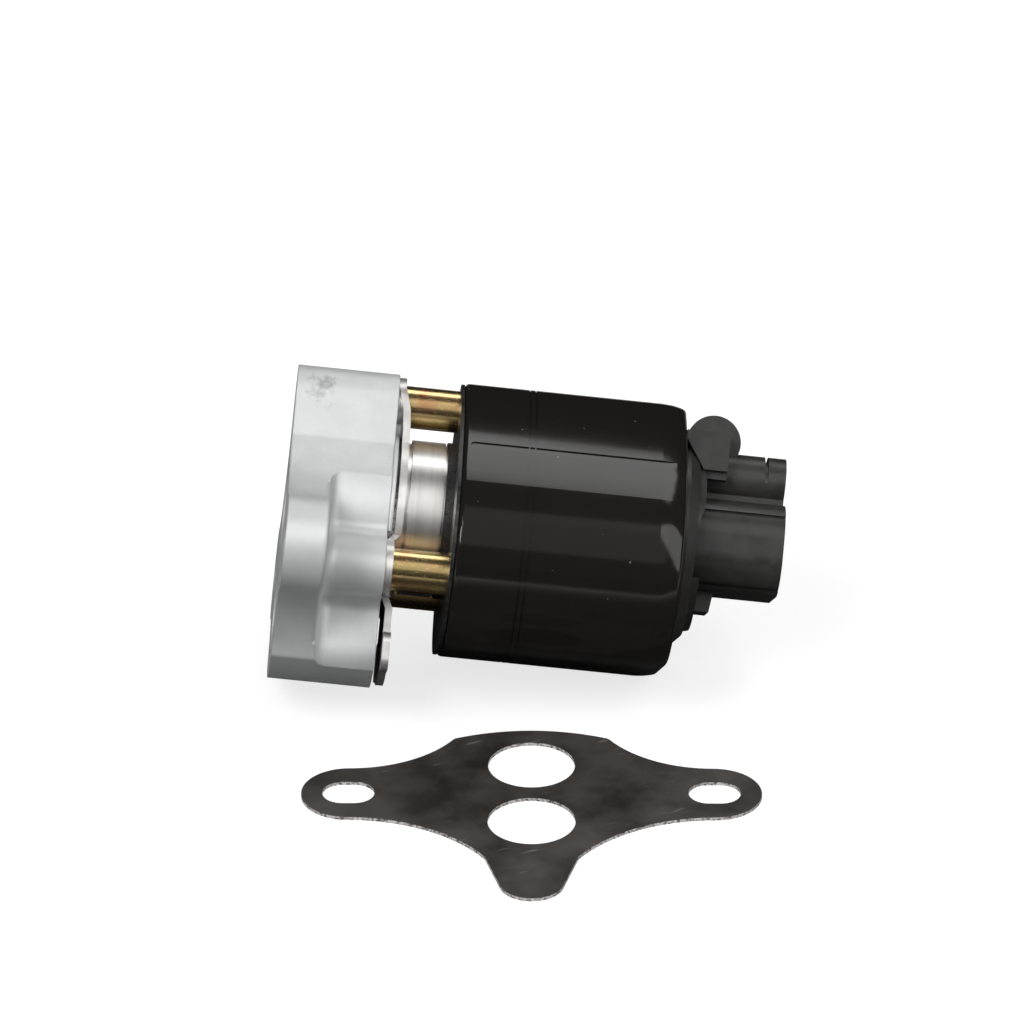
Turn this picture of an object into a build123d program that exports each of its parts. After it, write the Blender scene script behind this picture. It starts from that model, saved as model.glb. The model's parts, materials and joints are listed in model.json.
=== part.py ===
"""Linear EGR valve with its loose mounting gasket, laid on a bench.

The valve is modelled standing on its mounting face: the stem axis is +Z, the exhaust port is
at the origin and the lobe of the flange points along +Y.  At the end every piece of the valve
is turned to the way the valve rests on a bench, with the connector along +X and up along +Z.
"""

import os
from math import acos, atan2, cos, degrees, hypot, radians, sin

from build123d import *

# ---------------------------------------------------------------- driving dimensions (mm)

# mounting flange, shared by the base casting and the gasket
bolt_spacing = 84.4
bolt_hole_diameter = 9.0
ear_radius = 10.9
port_diameter = 20.2
port_pitch = 25.0
broad_edge_reach = 28.2
broad_corner_half_width = 18.0
broad_corner_drop = 3.7
lobe_radius = 7.4
lobe_root_half_width = 10.6
lobe_root_y = 15.6
lobe_wall_margin = 0.5
lobe_root_rounding = 2.0
broad_corner_rounding = 1.6
ear_edge_rounding = 1.0

# base casting
ear_thickness = 9.7
base_height = 24.0
chamber_wall_radius = 19.2
chamber_bore_radius = 12.0
chamber_floor = 6.0
screw_boss_radius = 7.2
port_body_half_width = 17.4
port_body_corner_radius = 8.0
port_roof = 20.0
passage_width = 12.0
passage_floor = 11.0
cast_fillet = 3.0

# valve
seat_height = 4.5
seat_bore_radius = 7.6
seat_land_width = 1.4
seat_clearance = 0.05
seated_gap = 0.04
nose_radius = 5.5
head_taper_height = 1.2
stem_radius = 3.0
running_clearance = 0.05
head_radius = 9.0
head_rim = 0.8
valve_lift = 4.5

# screws and spacers that carry the solenoid
screw_circle_radius = 26.0
side_screw_turn = 34.0
screw_radius = 2.5
screw_depth_in_base = 14.0
screw_hole_clearance = 0.25
screw_head_radius = 4.3
screw_head_height = 4.0
socket_across_flats = 4.0
spacer_radius = 4.95
spacer_length = 12.9

# stamped plate on the base
plate_thickness = 1.7
plateau_radius = 19.2
plate_overlap = 1.7
plate_inset = 0.7
plate_tongue_half_width = 15.5
plate_tab_reach = 22.3
plate_tab_width = 9.0
plate_tab_radius = 2.5
plate_tab_setback = 2.7
tab_lift_share = 0.8
lobe_bend_start = 4.0
lobe_bend_end = 1.5
bend_margin = 1.5
bend_inner_margin = 0.5
seat_coin_clearance = 0.7

# stem guide under the plate
guide_disc_radius = 13.9
guide_disc_sink = 2.5
bushing_radius = 6.0
bushing_length = 12.0
loose_gap = 0.3
seal_width = 3.0
shield_wall_gap = 1.5
shield_thickness = 0.8
shield_clearance = 0.6

# steel tube and pole pieces
tube_radius = 18.2
tube_wall = 1.8
tube_neck = 1.0
pole_flange_radius = 18.4
pole_flange_thickness = 1.9
pole_plate_thickness = 2.3
pole_plate_edge = 0.8
pole_hub_radius = 14.0
pole_hub_height = 12.0

# solenoid
can_lobe_radius = 6.9
can_shoulder_radius = 23.8
can_shoulder_x = 11.6
can_shoulder_y = -7.0
can_side_radius = 90.0
can_wall = 1.2
can_length = 52.6
can_nose_length = 5.9
can_nose_inset = 1.1
can_corner_radius = 1.2
can_mouth_radius = 23.2
bead_height = 15.3
bead_spacing = 1.4
bead_width = 0.35
bead_depth = 0.25
seam_share = 0.68
seam_width = 2.0
seam_depth = 0.3
seam_height = 1.8
armature_radius = 11.0
armature_length = 22.0
armature_floor = 41.8
sleeve_clearance = 0.1
sleeve_wall = 0.6
armature_pocket_depth = 6.0
armature_chamfer = 0.8
spring_pocket_radius = 7.0
stem_grip = 12.0
core_gap = 6.0
core_length = 10.6
core_pocket_depth = 3.0
core_flange_radius = 16.0
core_flange_thickness = 1.8
flux_plate_thickness = 3.0
bobbin_wall = 1.4
bobbin_flange_radius = 24.2
winding_radius = 22.6
head_gap = 0.5

# springs
return_spring_radius = 5.6
return_spring_wire = 1.1
return_spring_coils = 4.5
sensor_spring_radius = 3.2
sensor_spring_wire = 0.5
sensor_spring_coils = 3.5

# sensor and cap
plunger_radius = 2.0
plunger_bore_clearance = 0.4
carrier_radius = 5.0
carrier_height = 2.0
carrier_above_core = 1.6
wiper_thickness = 0.4
wiper_height = 3.0
wiper_width = 3.0
track_offset = 6.5
track_thickness = 1.0
track_width = 11.0
cap_seal_radius = 21.0
cap_seal_width = 2.4
cap_shoulder_gap = 0.3
cap_neck_radius = 23.0
cap_ring_radius = 23.8
cap_ring_height = 1.2
cap_cone_radius = 21.4
cap_cone_height = 2.4
cap_roof = 1.6
cap_step_radius = 20.9
cap_step_height = 1.7
cap_step_draft = 1.0
lower_step_y = -9.0
ramp_foot_y = 2.6
ramp_top_y = 7.8
cap_cavity_radius = 14.8
socket_half_width = 16.2
socket_half_height = 10.8
socket_corner_radius = 8.6
socket_length = 20.9
socket_wall = 1.9
socket_depth = 13.5
upper_rail = 3.1
lower_rail = 1.0
socket_side_recess = 0.5
rib_radius = 6.1
rib_y = 16.6
rib_web_half_width = 4.5
rib_groove_width = 0.8
rib_groove_depth = 1.2
rib_groove_from_end = 4.2
disc_radius = 6.4
disc_half_width = 3.4
disc_y = 24.6
disc_above_can = 7.0
tab_height = 9.0
tab_length = 10.2
tab_y = 21.7
tab_half_width = 11.0
tab_bevel_height = 7.0
tab_bevel_length = 4.6
tab_heel_drop = 1.9
tab_heel_inset = 2.0
tab_heel_length = 4.7
foot_half_width = 5.0
foot_length = 4.6
foot_height = 4.8
foot_slant = 0.7
blade_count = 5
blade_pitch = 4.2
blade_width = 1.6
blade_thickness = 0.8
blade_reach = 10.0

# loose gasket
gasket_thickness = 0.8
gasket_slot_length = 12.1
gasket_slot_width = 9.4
gasket_x = 58.0
gasket_y = -56.0

# ---------------------------------------------------------------- values worked out from them

ear_line_y = -port_pitch / 2
broad_edge_y = ear_line_y - broad_edge_reach
plate_top = base_height + plate_thickness
plateau_top = plate_top + plate_thickness
tube_top = plate_top + spacer_length - pole_flange_thickness
thread_bore_radius = screw_radius + seated_gap
screw_bore_radius = screw_radius + screw_hole_clearance
pole_plate_floor = plate_top + spacer_length
can_floor = pole_plate_floor + pole_plate_edge
can_top = can_floor + can_length
nose_floor = can_top - can_nose_length
plate_roof = pole_plate_floor + pole_plate_thickness
armature_top = armature_floor + armature_length
pocket_floor = armature_top - armature_pocket_depth
core_floor = armature_top + core_gap
core_pocket_roof = core_floor + core_pocket_depth
flux_top = core_floor + core_length
flux_floor = flux_top - flux_plate_thickness
core_top = flux_top + core_flange_thickness
sleeve_inner_radius = armature_radius + sleeve_clearance
sleeve_outer_radius = sleeve_inner_radius + sleeve_wall
bobbin_inner_radius = pole_hub_radius + loose_gap
bobbin_outer_radius = bobbin_inner_radius + bobbin_wall
coil_floor = plate_roof + screw_head_height + head_gap + bobbin_wall
coil_roof = flux_floor - bobbin_wall
seat_top = chamber_floor + seat_height
seat_mouth_radius = seat_bore_radius + seat_land_width
rim_floor = seat_top + seat_clearance * 2**0.5 + head_radius - seat_mouth_radius
rim_top = rim_floor + head_rim
shield_radius = chamber_bore_radius - shield_wall_gap
shield_floor = rim_top + head_taper_height + valve_lift + shield_clearance
bushing_floor = shield_floor + shield_thickness
guide_floor = base_height - guide_disc_sink
carrier_floor = core_top + carrier_above_core
carrier_top = carrier_floor + carrier_height
lip_floor = can_top - can_wall
ring_floor = can_top + seated_gap
ring_top = ring_floor + cap_ring_height
cap_top = ring_top + cap_cone_height
step_top = cap_top + cap_step_height
cavity_roof = cap_top - cap_roof
socket_top = cap_top + socket_length
socket_floor = socket_top - socket_depth
side_screw_y = -screw_circle_radius * sin(radians(side_screw_turn))
boss_root_y = side_screw_y * chamber_wall_radius / screw_circle_radius
screws = {
    "lobe": (0.0, screw_circle_radius),
    "near": (-screw_circle_radius * cos(radians(side_screw_turn)), side_screw_y),
    "far": (screw_circle_radius * cos(radians(side_screw_turn)), side_screw_y),
}
screw_places = list(screws.values())

os.makedirs("parts", exist_ok=True)


# ---------------------------------------------------------------- shared outlines


def flange_profile(plane, inset=0.0):
    """Outline of the mounting flange: two ears, a lobe round the upper screw, a broad edge."""
    ear_x = bolt_spacing / 2
    ear_r = ear_radius - inset
    lobe_r = lobe_radius - inset
    lobe_centre = screws["lobe"]
    root = (lobe_root_half_width - inset, lobe_root_y)
    reach = hypot(root[0] - lobe_centre[0], root[1] - lobe_centre[1])
    turn = atan2(root[1] - lobe_centre[1], root[0]) + acos(lobe_r / reach)
    lobe_end = (lobe_r * cos(turn), lobe_centre[1] + lobe_r * sin(turn))
    lobe_top = (0, lobe_centre[1] + lobe_r)
    middle_turn = (turn + radians(90)) / 2
    lobe_middle = (lobe_r * cos(middle_turn), lobe_centre[1] + lobe_r * sin(middle_turn))
    corner = (broad_corner_half_width - inset, broad_edge_y + broad_corner_drop + inset / 2)
    with BuildSketch(plane) as profile:
        with BuildLine():
            ThreePointArc(lobe_top, lobe_middle, lobe_end)
            Line(lobe_end, root)
            TangentArc((ear_x, ear_line_y + ear_r), root, tangent=(-1, 0))
            ThreePointArc(
                (ear_x, ear_line_y + ear_r),
                (ear_x + ear_r, ear_line_y),
                (ear_x, ear_line_y - ear_r),
            )
            TangentArc((ear_x, ear_line_y - ear_r), corner, tangent=(-1, 0))
            ThreePointArc(
                corner,
                (corner[0] / 2, broad_edge_y + inset + broad_corner_drop / 4),
                (0, broad_edge_y + inset),
            )
            mirror(about=Plane.YZ)
        make_face()
        for sharp_x, rounding in ((root[0], lobe_root_rounding), (corner[0], broad_corner_rounding)):
            sharp = profile.vertices().filter_by(lambda v: abs(abs(v.X) - sharp_x) < 1e-4)
            fillet(sharp, rounding)
    return profile.sketch


def arc_between(centre_a, radius_a, centre_b, radius_b, radius):
    """Start, middle and end of the arc that wraps two circles and touches each from outside."""
    to_a = radius - radius_a
    to_b = radius - radius_b
    span = hypot(centre_b[0] - centre_a[0], centre_b[1] - centre_a[1])
    along = (to_a**2 - to_b**2 + span**2) / (2 * span)
    aside = (to_a**2 - along**2) ** 0.5
    step = ((centre_b[0] - centre_a[0]) / span, (centre_b[1] - centre_a[1]) / span)
    hub = Vector(
        centre_a[0] + step[0] * along + step[1] * aside,
        centre_a[1] + step[1] * along - step[0] * aside,
    )
    start = hub + (Vector(*centre_a) - hub).normalized() * radius
    end = hub + (Vector(*centre_b) - hub).normalized() * radius
    middle = hub + ((start + end) * 0.5 - hub).normalized() * radius
    return start, middle, end


def can_profile(plane, inset=0.0):
    """Rounded triangle of the solenoid can, moved in by inset."""
    lobe = screws["lobe"]
    shoulder = (can_shoulder_x, can_shoulder_y)
    lobe_r = can_lobe_radius - inset
    shoulder_r = can_shoulder_radius - inset
    start, middle, end = arc_between(lobe, lobe_r, shoulder, shoulder_r, can_side_radius - inset)
    heel = (can_shoulder_x, can_shoulder_y - shoulder_r)
    bulge = Vector(*shoulder) + (
        (end - Vector(*shoulder)).normalized() + Vector(0, -1)
    ).normalized() * shoulder_r
    top = (0, lobe[1] + lobe_r)
    crown = Vector(*lobe) + ((start - Vector(*lobe)).normalized() + Vector(0, 1)).normalized() * lobe_r
    with BuildSketch(plane) as profile:
        with BuildLine():
            ThreePointArc(top, crown, start)
            ThreePointArc(start, middle, end)
            ThreePointArc(end, bulge, heel)
            Line(heel, (0, heel[1]))
            mirror(about=Plane.YZ)
        make_face()
    return profile.sketch


def screw_bars(plane, radius, depth):
    """Three round bars at the screws, for cutting holes or making seats."""
    with BuildPart() as bars:
        with BuildSketch(plane):
            with Locations(*screw_places):
                Circle(radius)
        extrude(amount=depth)
    return bars.part


# ---------------------------------------------------------------- base casting

ear_places = [(-bolt_spacing / 2, ear_line_y), (bolt_spacing / 2, ear_line_y)]

# walls above the ears: valve chamber, three screw bosses, intake body and lobe
with BuildSketch() as upper_walls:
    Circle(chamber_wall_radius)
    with Locations(*screw_places):
        Circle(screw_boss_radius)
    with Locations((0, broad_edge_y)):
        Rectangle(
            2 * port_body_half_width,
            boss_root_y - broad_edge_y,
            align=(Align.CENTER, Align.MIN),
        )
    fillet(upper_walls.vertices().sort_by(Axis.Y)[:2], port_body_corner_radius)
    valleys = upper_walls.vertices().filter_by(lambda v: -screw_circle_radius < v.Y < 0)
    fillet(valleys, cast_fillet)
    Rectangle(
        2 * (lobe_root_half_width + lobe_wall_margin),
        2 * screw_circle_radius,
        align=(Align.CENTER, Align.MIN),
    )
    shoulders = upper_walls.vertices().filter_by(lambda v: v.Y > 0).sort_by(Axis.Y)[:2]
    fillet(shoulders, cast_fillet)

# outline that trims the casting: rounded ears, full height where the walls stand
with BuildPart() as casting_trim:
    extrude(flange_profile(Plane.XY), amount=ear_thickness)
    fillet(casting_trim.edges().group_by(Axis.Z)[-1], ear_edge_rounding)
    with BuildSketch() as wall_zone:
        add(upper_walls.sketch)
        offset(amount=cast_fillet + seated_gap)
        add(flange_profile(Plane.XY), mode=Mode.INTERSECT)
    extrude(amount=base_height)

with BuildPart() as base_casting:
    with BuildSketch():
        Rectangle(3 * bolt_spacing, 3 * bolt_spacing)
    extrude(amount=ear_thickness)
    slab_rim = base_casting.edges().group_by(Axis.Z)[-1]
    with BuildSketch(Plane.XY.offset(ear_thickness)):
        add(upper_walls.sketch)
    extrude(amount=base_height - ear_thickness)
    wall_roots = base_casting.edges().filter_by_position(Axis.Z, ear_thickness, ear_thickness)
    fillet(wall_roots - slab_rim, cast_fillet)
    add(casting_trim.part, mode=Mode.INTERSECT)
    # exhaust port, valve chamber above it and the seat of the guide disc
    with BuildSketch():
        Circle(port_diameter / 2)
    extrude(amount=chamber_floor, mode=Mode.SUBTRACT)
    with BuildSketch(Plane.XY.offset(chamber_floor)):
        Circle(chamber_bore_radius)
    extrude(amount=base_height - chamber_floor, mode=Mode.SUBTRACT)
    with BuildSketch(Plane.XY.offset(guide_floor)):
        Circle(guide_disc_radius + seated_gap)
    extrude(amount=guide_disc_sink, mode=Mode.SUBTRACT)
    # intake port and the passage that joins it to the chamber
    with BuildSketch():
        with Locations((0, -port_pitch)):
            Circle(port_diameter / 2)
    extrude(amount=port_roof, mode=Mode.SUBTRACT)
    with BuildSketch(Plane.XY.offset(passage_floor)):
        with Locations((0, -port_pitch)):
            Rectangle(passage_width, port_pitch, align=(Align.CENTER, Align.MIN))
    extrude(amount=port_roof - passage_floor, mode=Mode.SUBTRACT)
    with Locations(*ear_places):
        Hole(bolt_hole_diameter / 2)
    thread_plane = Plane.XY.offset(base_height - screw_depth_in_base)
    add(screw_bars(thread_plane, thread_bore_radius, screw_depth_in_base), mode=Mode.SUBTRACT)
base_casting.part.label = "base_casting"

with BuildPart() as valve_seat:
    with BuildSketch(Plane.XY.offset(chamber_floor)):
        Circle(chamber_bore_radius - seated_gap)
        Circle(seat_bore_radius, mode=Mode.SUBTRACT)
    extrude(amount=seat_height)
    mouth = valve_seat.edges().group_by(Axis.Z)[-1].sort_by(SortBy.RADIUS)[0]
    chamfer(mouth, seat_land_width)
valve_seat.part.label = "valve_seat"

# ---------------------------------------------------------------- moving valve

with BuildPart() as pintle:
    with BuildSketch(Plane.XZ):
        with BuildLine():
            Polyline(
                (0, rim_floor - head_radius + nose_radius),
                (nose_radius, rim_floor - head_radius + nose_radius),
                (head_radius, rim_floor),
                (head_radius, rim_top),
                (stem_radius, rim_top + head_taper_height),
                (stem_radius, armature_floor + stem_grip),
                (0, armature_floor + stem_grip),
                close=True,
            )
        make_face()
    revolve(axis=Axis.Z)
pintle.part.label = "pintle"

with BuildPart() as armature:
    with BuildSketch(Plane.XY.offset(armature_floor)):
        Circle(armature_radius)
    extrude(amount=armature_length)
    with BuildSketch(Plane.XY.offset(armature_floor)):
        Circle(stem_radius)
    extrude(amount=stem_grip, mode=Mode.SUBTRACT)
    with BuildSketch(Plane.XY.offset(pocket_floor)):
        Circle(spring_pocket_radius)
    extrude(amount=armature_pocket_depth, mode=Mode.SUBTRACT)
    chamfer(armature.edges().group_by(Axis.Z)[-1].sort_by(SortBy.RADIUS)[-1], armature_chamfer)
armature.part.label = "armature"

with BuildPart() as sensor_plunger:
    with BuildSketch(Plane.XY.offset(pocket_floor)):
        Circle(plunger_radius)
    extrude(amount=carrier_floor - pocket_floor)
    with BuildSketch(Plane.XY.offset(carrier_floor)):
        Circle(carrier_radius)
    extrude(amount=carrier_height)
sensor_plunger.part.label = "sensor_plunger"

with BuildPart() as sensor_wiper:
    with BuildSketch(Plane.XZ):
        with BuildLine():
            arm_end = track_offset - seat_clearance
            Polyline(
                (sensor_spring_radius + 2 * sensor_spring_wire, carrier_top),
                (arm_end, carrier_top),
                (arm_end, carrier_top + wiper_height),
                (arm_end - wiper_thickness, carrier_top + wiper_height),
                (arm_end - wiper_thickness, carrier_top + wiper_thickness),
                (sensor_spring_radius + 2 * sensor_spring_wire, carrier_top + wiper_thickness),
                close=True,
            )
        make_face()
    extrude(amount=wiper_width / 2, both=True)
sensor_wiper.part.label = "sensor_wiper"

# ---------------------------------------------------------------- stem guide and plate

with BuildPart() as stem_shield:
    with BuildSketch(Plane.XY.offset(shield_floor)):
        Circle(shield_radius)
        Circle(stem_radius + loose_gap, mode=Mode.SUBTRACT)
    extrude(amount=shield_thickness)
stem_shield.part.label = "stem_shield"

with BuildPart() as stem_bushing:
    with BuildSketch(Plane.XY.offset(bushing_floor)):
        Circle(bushing_radius)
        Circle(stem_radius + running_clearance, mode=Mode.SUBTRACT)
    extrude(amount=bushing_length)
stem_bushing.part.label = "stem_bushing"

with BuildPart() as stem_guide:
    with BuildSketch(Plane.XY.offset(guide_floor)):
        Circle(guide_disc_radius)
        Circle(bushing_radius + seated_gap, mode=Mode.SUBTRACT)
    extrude(amount=plate_top - guide_floor)
stem_guide.part.label = "stem_guide"

with BuildPart() as base_seal:
    with BuildSketch(Plane.XY.offset(base_height)):
        Circle(guide_disc_radius + loose_gap + seal_width)
        Circle(guide_disc_radius + loose_gap, mode=Mode.SUBTRACT)
    extrude(amount=plate_thickness)
base_seal.part.label = "base_seal"

# The plate lies on the base at the screws and is joggled up by its own thickness elsewhere.
joggle = plate_thickness
wave = [
    (lobe_radius + screw_circle_radius, 0),
    (screw_circle_radius + lobe_bend_start, 0),
    (screw_circle_radius - lobe_bend_end, tab_lift_share),
    (plateau_radius, 1),
    (side_screw_y + screw_boss_radius + bend_margin, 1),
    (side_screw_y + screw_boss_radius - bend_inner_margin, 0),
    (side_screw_y - screw_boss_radius + bend_margin, 0),
    (side_screw_y - screw_boss_radius - bend_margin, tab_lift_share),
    (broad_edge_y, tab_lift_share),
]
with BuildPart() as heat_shield:
    with BuildSketch(Plane.YZ):
        with BuildLine():
            under = Polyline(*[(y, base_height + share * joggle) for y, share in wave])
            over = Polyline(*[(y, plate_top + share * joggle) for y, share in wave])
            Line(under @ 0, over @ 0)
            Line(under @ 1, over @ 1)
        make_face()
    extrude(amount=bolt_spacing / 2, both=True)
    with BuildSketch(Plane.XY.offset(base_height)):
        Circle(plateau_radius - plate_overlap)
    extrude(amount=2 * plate_thickness, mode=Mode.SUBTRACT)
    add(screw_bars(Plane.XY.offset(base_height), spacer_radius + seat_coin_clearance, plate_thickness))
    seats = screw_bars(Plane.XY.offset(plate_top), spacer_radius + seat_coin_clearance, plate_thickness)
    add(seats, mode=Mode.SUBTRACT)
    with BuildSketch(Plane.XY.offset(base_height)):
        Circle(plateau_radius)
        for turn, place in ((side_screw_turn - 180, screws["near"]), (-side_screw_turn, screws["far"])):
            Rectangle(
                screw_circle_radius,
                2 * spacer_radius,
                rotation=turn,
                align=(Align.MIN, Align.CENTER),
            )
            with Locations(place):
                Circle(screw_boss_radius - plate_inset)
        with Locations((0, broad_edge_y)):
            Rectangle(
                2 * plate_tongue_half_width,
                boss_root_y - broad_edge_y,
                align=(Align.CENTER, Align.MIN),
            )
        Rectangle(2 * lobe_root_half_width, 2 * screw_circle_radius, align=(Align.CENTER, Align.MIN))
        add(flange_profile(Plane.XY, plate_inset), mode=Mode.INTERSECT)
        with Locations((0, broad_edge_y + plate_tab_setback + plate_tab_width / 2)):
            RectangleRounded(2 * plate_tab_reach, plate_tab_width, plate_tab_radius)
    extrude(amount=2 * plate_thickness, mode=Mode.INTERSECT)
    with BuildSketch(Plane.XY.offset(plate_top)):
        Circle(plateau_radius)
    extrude(amount=plate_thickness)
    add(seats, mode=Mode.SUBTRACT)
    with BuildSketch(Plane.XY.offset(plate_top)):
        Circle(bushing_radius + loose_gap)
    extrude(amount=plate_thickness, mode=Mode.SUBTRACT)
    add(screw_bars(Plane.XY.offset(base_height), screw_bore_radius, plate_thickness), mode=Mode.SUBTRACT)
heat_shield.part.label = "heat_shield"

with BuildPart() as guide_tube:
    with BuildSketch(Plane.XY.offset(plateau_top)):
        Circle(tube_radius)
        Circle(tube_radius - tube_wall, mode=Mode.SUBTRACT)
    extrude(amount=tube_top - plateau_top)
    for neck_floor, neck_height in ((plateau_top, tube_neck), (tube_top - tube_neck / 2, tube_neck / 2)):
        with BuildSketch(Plane.XY.offset(neck_floor)):
            Circle(tube_radius)
            Circle(tube_radius - tube_wall / 2, mode=Mode.SUBTRACT)
        extrude(amount=neck_height, mode=Mode.SUBTRACT)
guide_tube.part.label = "guide_tube"

# ---------------------------------------------------------------- spacers and screws

spacers = []
screw_pieces = []
for name, place in screws.items():
    with BuildPart() as spacer:
        with BuildSketch(Plane.XY.offset(plate_top)):
            with Locations(place):
                Circle(spacer_radius)
                Circle(screw_bore_radius, mode=Mode.SUBTRACT)
        extrude(amount=spacer_length)
    spacer.part.label = "spacer_" + name
    spacers.append(spacer)
    with BuildPart() as screw:
        with BuildSketch(Plane.XY.offset(base_height - screw_depth_in_base)):
            with Locations(place):
                Circle(screw_radius)
        extrude(amount=plate_roof - base_height + screw_depth_in_base)
        with BuildSketch(Plane.XY.offset(plate_roof)):
            with Locations(place):
                Circle(screw_head_radius)
        extrude(amount=screw_head_height)
        with BuildSketch(Plane.XY.offset(plate_roof + screw_head_height)):
            with Locations(place):
                RegularPolygon(socket_across_flats / 2, 6, major_radius=False)
        extrude(amount=-screw_head_height / 2, mode=Mode.SUBTRACT)
    screw.part.label = "screw_" + name
    screw_pieces.append(screw)

# ---------------------------------------------------------------- magnetic circuit

with BuildPart() as lower_pole:
    with BuildSketch(Plane.XY.offset(tube_top)):
        Circle(pole_flange_radius)
    extrude(amount=pole_flange_thickness)
    with BuildSketch(Plane.XY.offset(pole_plate_floor)):
        Circle(pole_hub_radius)
    extrude(amount=pole_hub_height)
    with BuildSketch(Plane.XY.offset(tube_top)):
        Circle(stem_radius + loose_gap)
    extrude(amount=plate_roof - tube_top, mode=Mode.SUBTRACT)
    with BuildSketch(Plane.XY.offset(plate_roof)):
        Circle(sleeve_outer_radius + seated_gap)
    extrude(amount=pole_hub_height, mode=Mode.SUBTRACT)
lower_pole.part.label = "lower_pole"

with BuildPart() as pole_plate:
    extrude(can_profile(Plane.XY.offset(pole_plate_floor), loose_gap), amount=pole_plate_edge)
    extrude(can_profile(Plane.XY.offset(can_floor), can_wall + seated_gap), amount=plate_roof - can_floor)
    with BuildSketch(Plane.XY.offset(pole_plate_floor)):
        Circle(pole_hub_radius + seated_gap)
        with Locations(*screw_places):
            Circle(screw_bore_radius)
    extrude(amount=pole_plate_thickness, mode=Mode.SUBTRACT)
pole_plate.part.label = "pole_plate"

nose_steps = ((0.0, 0.0), (0.35, 0.12), (0.7, 0.45), (1.0, 1.0))


def can_solid(inset, floor, roof):
    """Prism of the can's outline whose upper end curves in, between two heights."""
    with BuildPart() as prism:
        extrude(can_profile(Plane.XY.offset(floor), inset), amount=nose_floor - floor)
        sections = []
        for rise, share in nose_steps:
            section_plane = Plane.XY.offset(nose_floor + (roof - nose_floor) * rise)
            sections.append(can_profile(section_plane, inset + can_nose_inset * share))
        loft(sections)
    return prism.part


# The stamped groove lies on the near flank: the far side's arc gives its place, mirrored.
far_side = ThreePointArc(
    *arc_between(
        screws["lobe"],
        can_lobe_radius,
        (can_shoulder_x, can_shoulder_y),
        can_shoulder_radius,
        can_side_radius,
    )
)
seam_point = far_side @ seam_share
seam_tangent = far_side % seam_share
seam_outward = Vector(seam_tangent.Y, seam_tangent.X, 0)
seam_origin = Vector(-seam_point.X, seam_point.Y, can_floor + seam_height) - seam_outward * seam_depth

with BuildPart() as solenoid_can:
    add(can_solid(0.0, can_floor, can_top))
    fillet(solenoid_can.edges().group_by(Axis.Z)[-1], can_corner_radius)
    fillet(solenoid_can.edges().group_by(Axis.Z)[0], can_corner_radius)
    add(can_solid(can_wall, can_floor, lip_floor), mode=Mode.SUBTRACT)
    with BuildSketch(Plane.XY.offset(lip_floor)):
        Circle(can_mouth_radius)
    extrude(amount=can_wall, mode=Mode.SUBTRACT)
    for bead in (0, 1):
        bead_plane = Plane.XY.offset(can_floor + bead_height + bead * bead_spacing)
        with BuildSketch(bead_plane):
            add(can_profile(bead_plane, -loose_gap))
            add(can_profile(bead_plane, bead_depth), mode=Mode.SUBTRACT)
        extrude(amount=bead_width, mode=Mode.SUBTRACT)
    with BuildSketch(Plane(origin=seam_origin, x_dir=(0, 0, 1), z_dir=seam_outward)):
        SlotOverall(can_length - seam_height, seam_width, align=(Align.MIN, Align.CENTER))
    extrude(amount=can_wall, mode=Mode.SUBTRACT)
solenoid_can.part.label = "solenoid_can"

with BuildPart() as bobbin:
    with BuildSketch(Plane.XY.offset(plate_roof)):
        Circle(bobbin_outer_radius)
    extrude(amount=flux_floor - plate_roof)
    with BuildSketch(Plane.XY.offset(coil_floor - bobbin_wall)):
        Circle(bobbin_flange_radius)
    extrude(amount=bobbin_wall)
    with BuildSketch(Plane.XY.offset(coil_roof)):
        Circle(bobbin_flange_radius)
    extrude(amount=bobbin_wall)
    with BuildSketch(Plane.XY.offset(plate_roof)):
        Circle(bobbin_inner_radius)
    extrude(amount=flux_floor - plate_roof, mode=Mode.SUBTRACT)
bobbin.part.label = "bobbin"

with BuildPart() as coil_winding:
    with BuildSketch(Plane.XY.offset(coil_floor)):
        Circle(winding_radius)
        Circle(bobbin_outer_radius + seated_gap, mode=Mode.SUBTRACT)
    extrude(amount=coil_roof - coil_floor)
coil_winding.part.label = "coil_winding"

with BuildPart() as armature_sleeve:
    with BuildSketch(Plane.XY.offset(plate_roof)):
        Circle(sleeve_outer_radius)
        Circle(sleeve_inner_radius, mode=Mode.SUBTRACT)
    extrude(amount=flux_top - plate_roof)
armature_sleeve.part.label = "armature_sleeve"

with BuildPart() as flux_plate:
    extrude(can_profile(Plane.XY.offset(flux_floor), can_wall + seated_gap), amount=flux_plate_thickness)
    with BuildSketch(Plane.XY.offset(flux_floor)):
        Circle(sleeve_outer_radius + seated_gap)
    extrude(amount=flux_plate_thickness, mode=Mode.SUBTRACT)
flux_plate.part.label = "flux_plate"

with BuildPart() as upper_pole:
    with BuildSketch(Plane.XY.offset(core_floor)):
        Circle(sleeve_inner_radius - seated_gap)
    extrude(amount=core_length)
    with BuildSketch(Plane.XY.offset(flux_top)):
        Circle(core_flange_radius)
    extrude(amount=core_flange_thickness)
    with BuildSketch(Plane.XY.offset(core_floor)):
        Circle(spring_pocket_radius)
    extrude(amount=core_pocket_depth, mode=Mode.SUBTRACT)
    with BuildSketch(Plane.XY.offset(core_floor)):
        Circle(plunger_radius + plunger_bore_clearance)
    extrude(amount=core_top - core_floor, mode=Mode.SUBTRACT)
upper_pole.part.label = "upper_pole"


# ---------------------------------------------------------------- springs


def coil_spring(floor, roof, radius, wire, coils):
    """Compression spring standing between two faces, with its wire clear of both."""
    path = Helix(
        pitch=(roof - floor - wire) / coils,
        height=roof - floor - wire,
        radius=radius,
        center=(0, 0, floor + wire / 2),
    )
    with BuildPart() as spring:
        with BuildSketch(Plane(origin=path @ 0, z_dir=path % 0)):
            Circle(wire / 2)
        sweep(path=path)
    return spring


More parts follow.
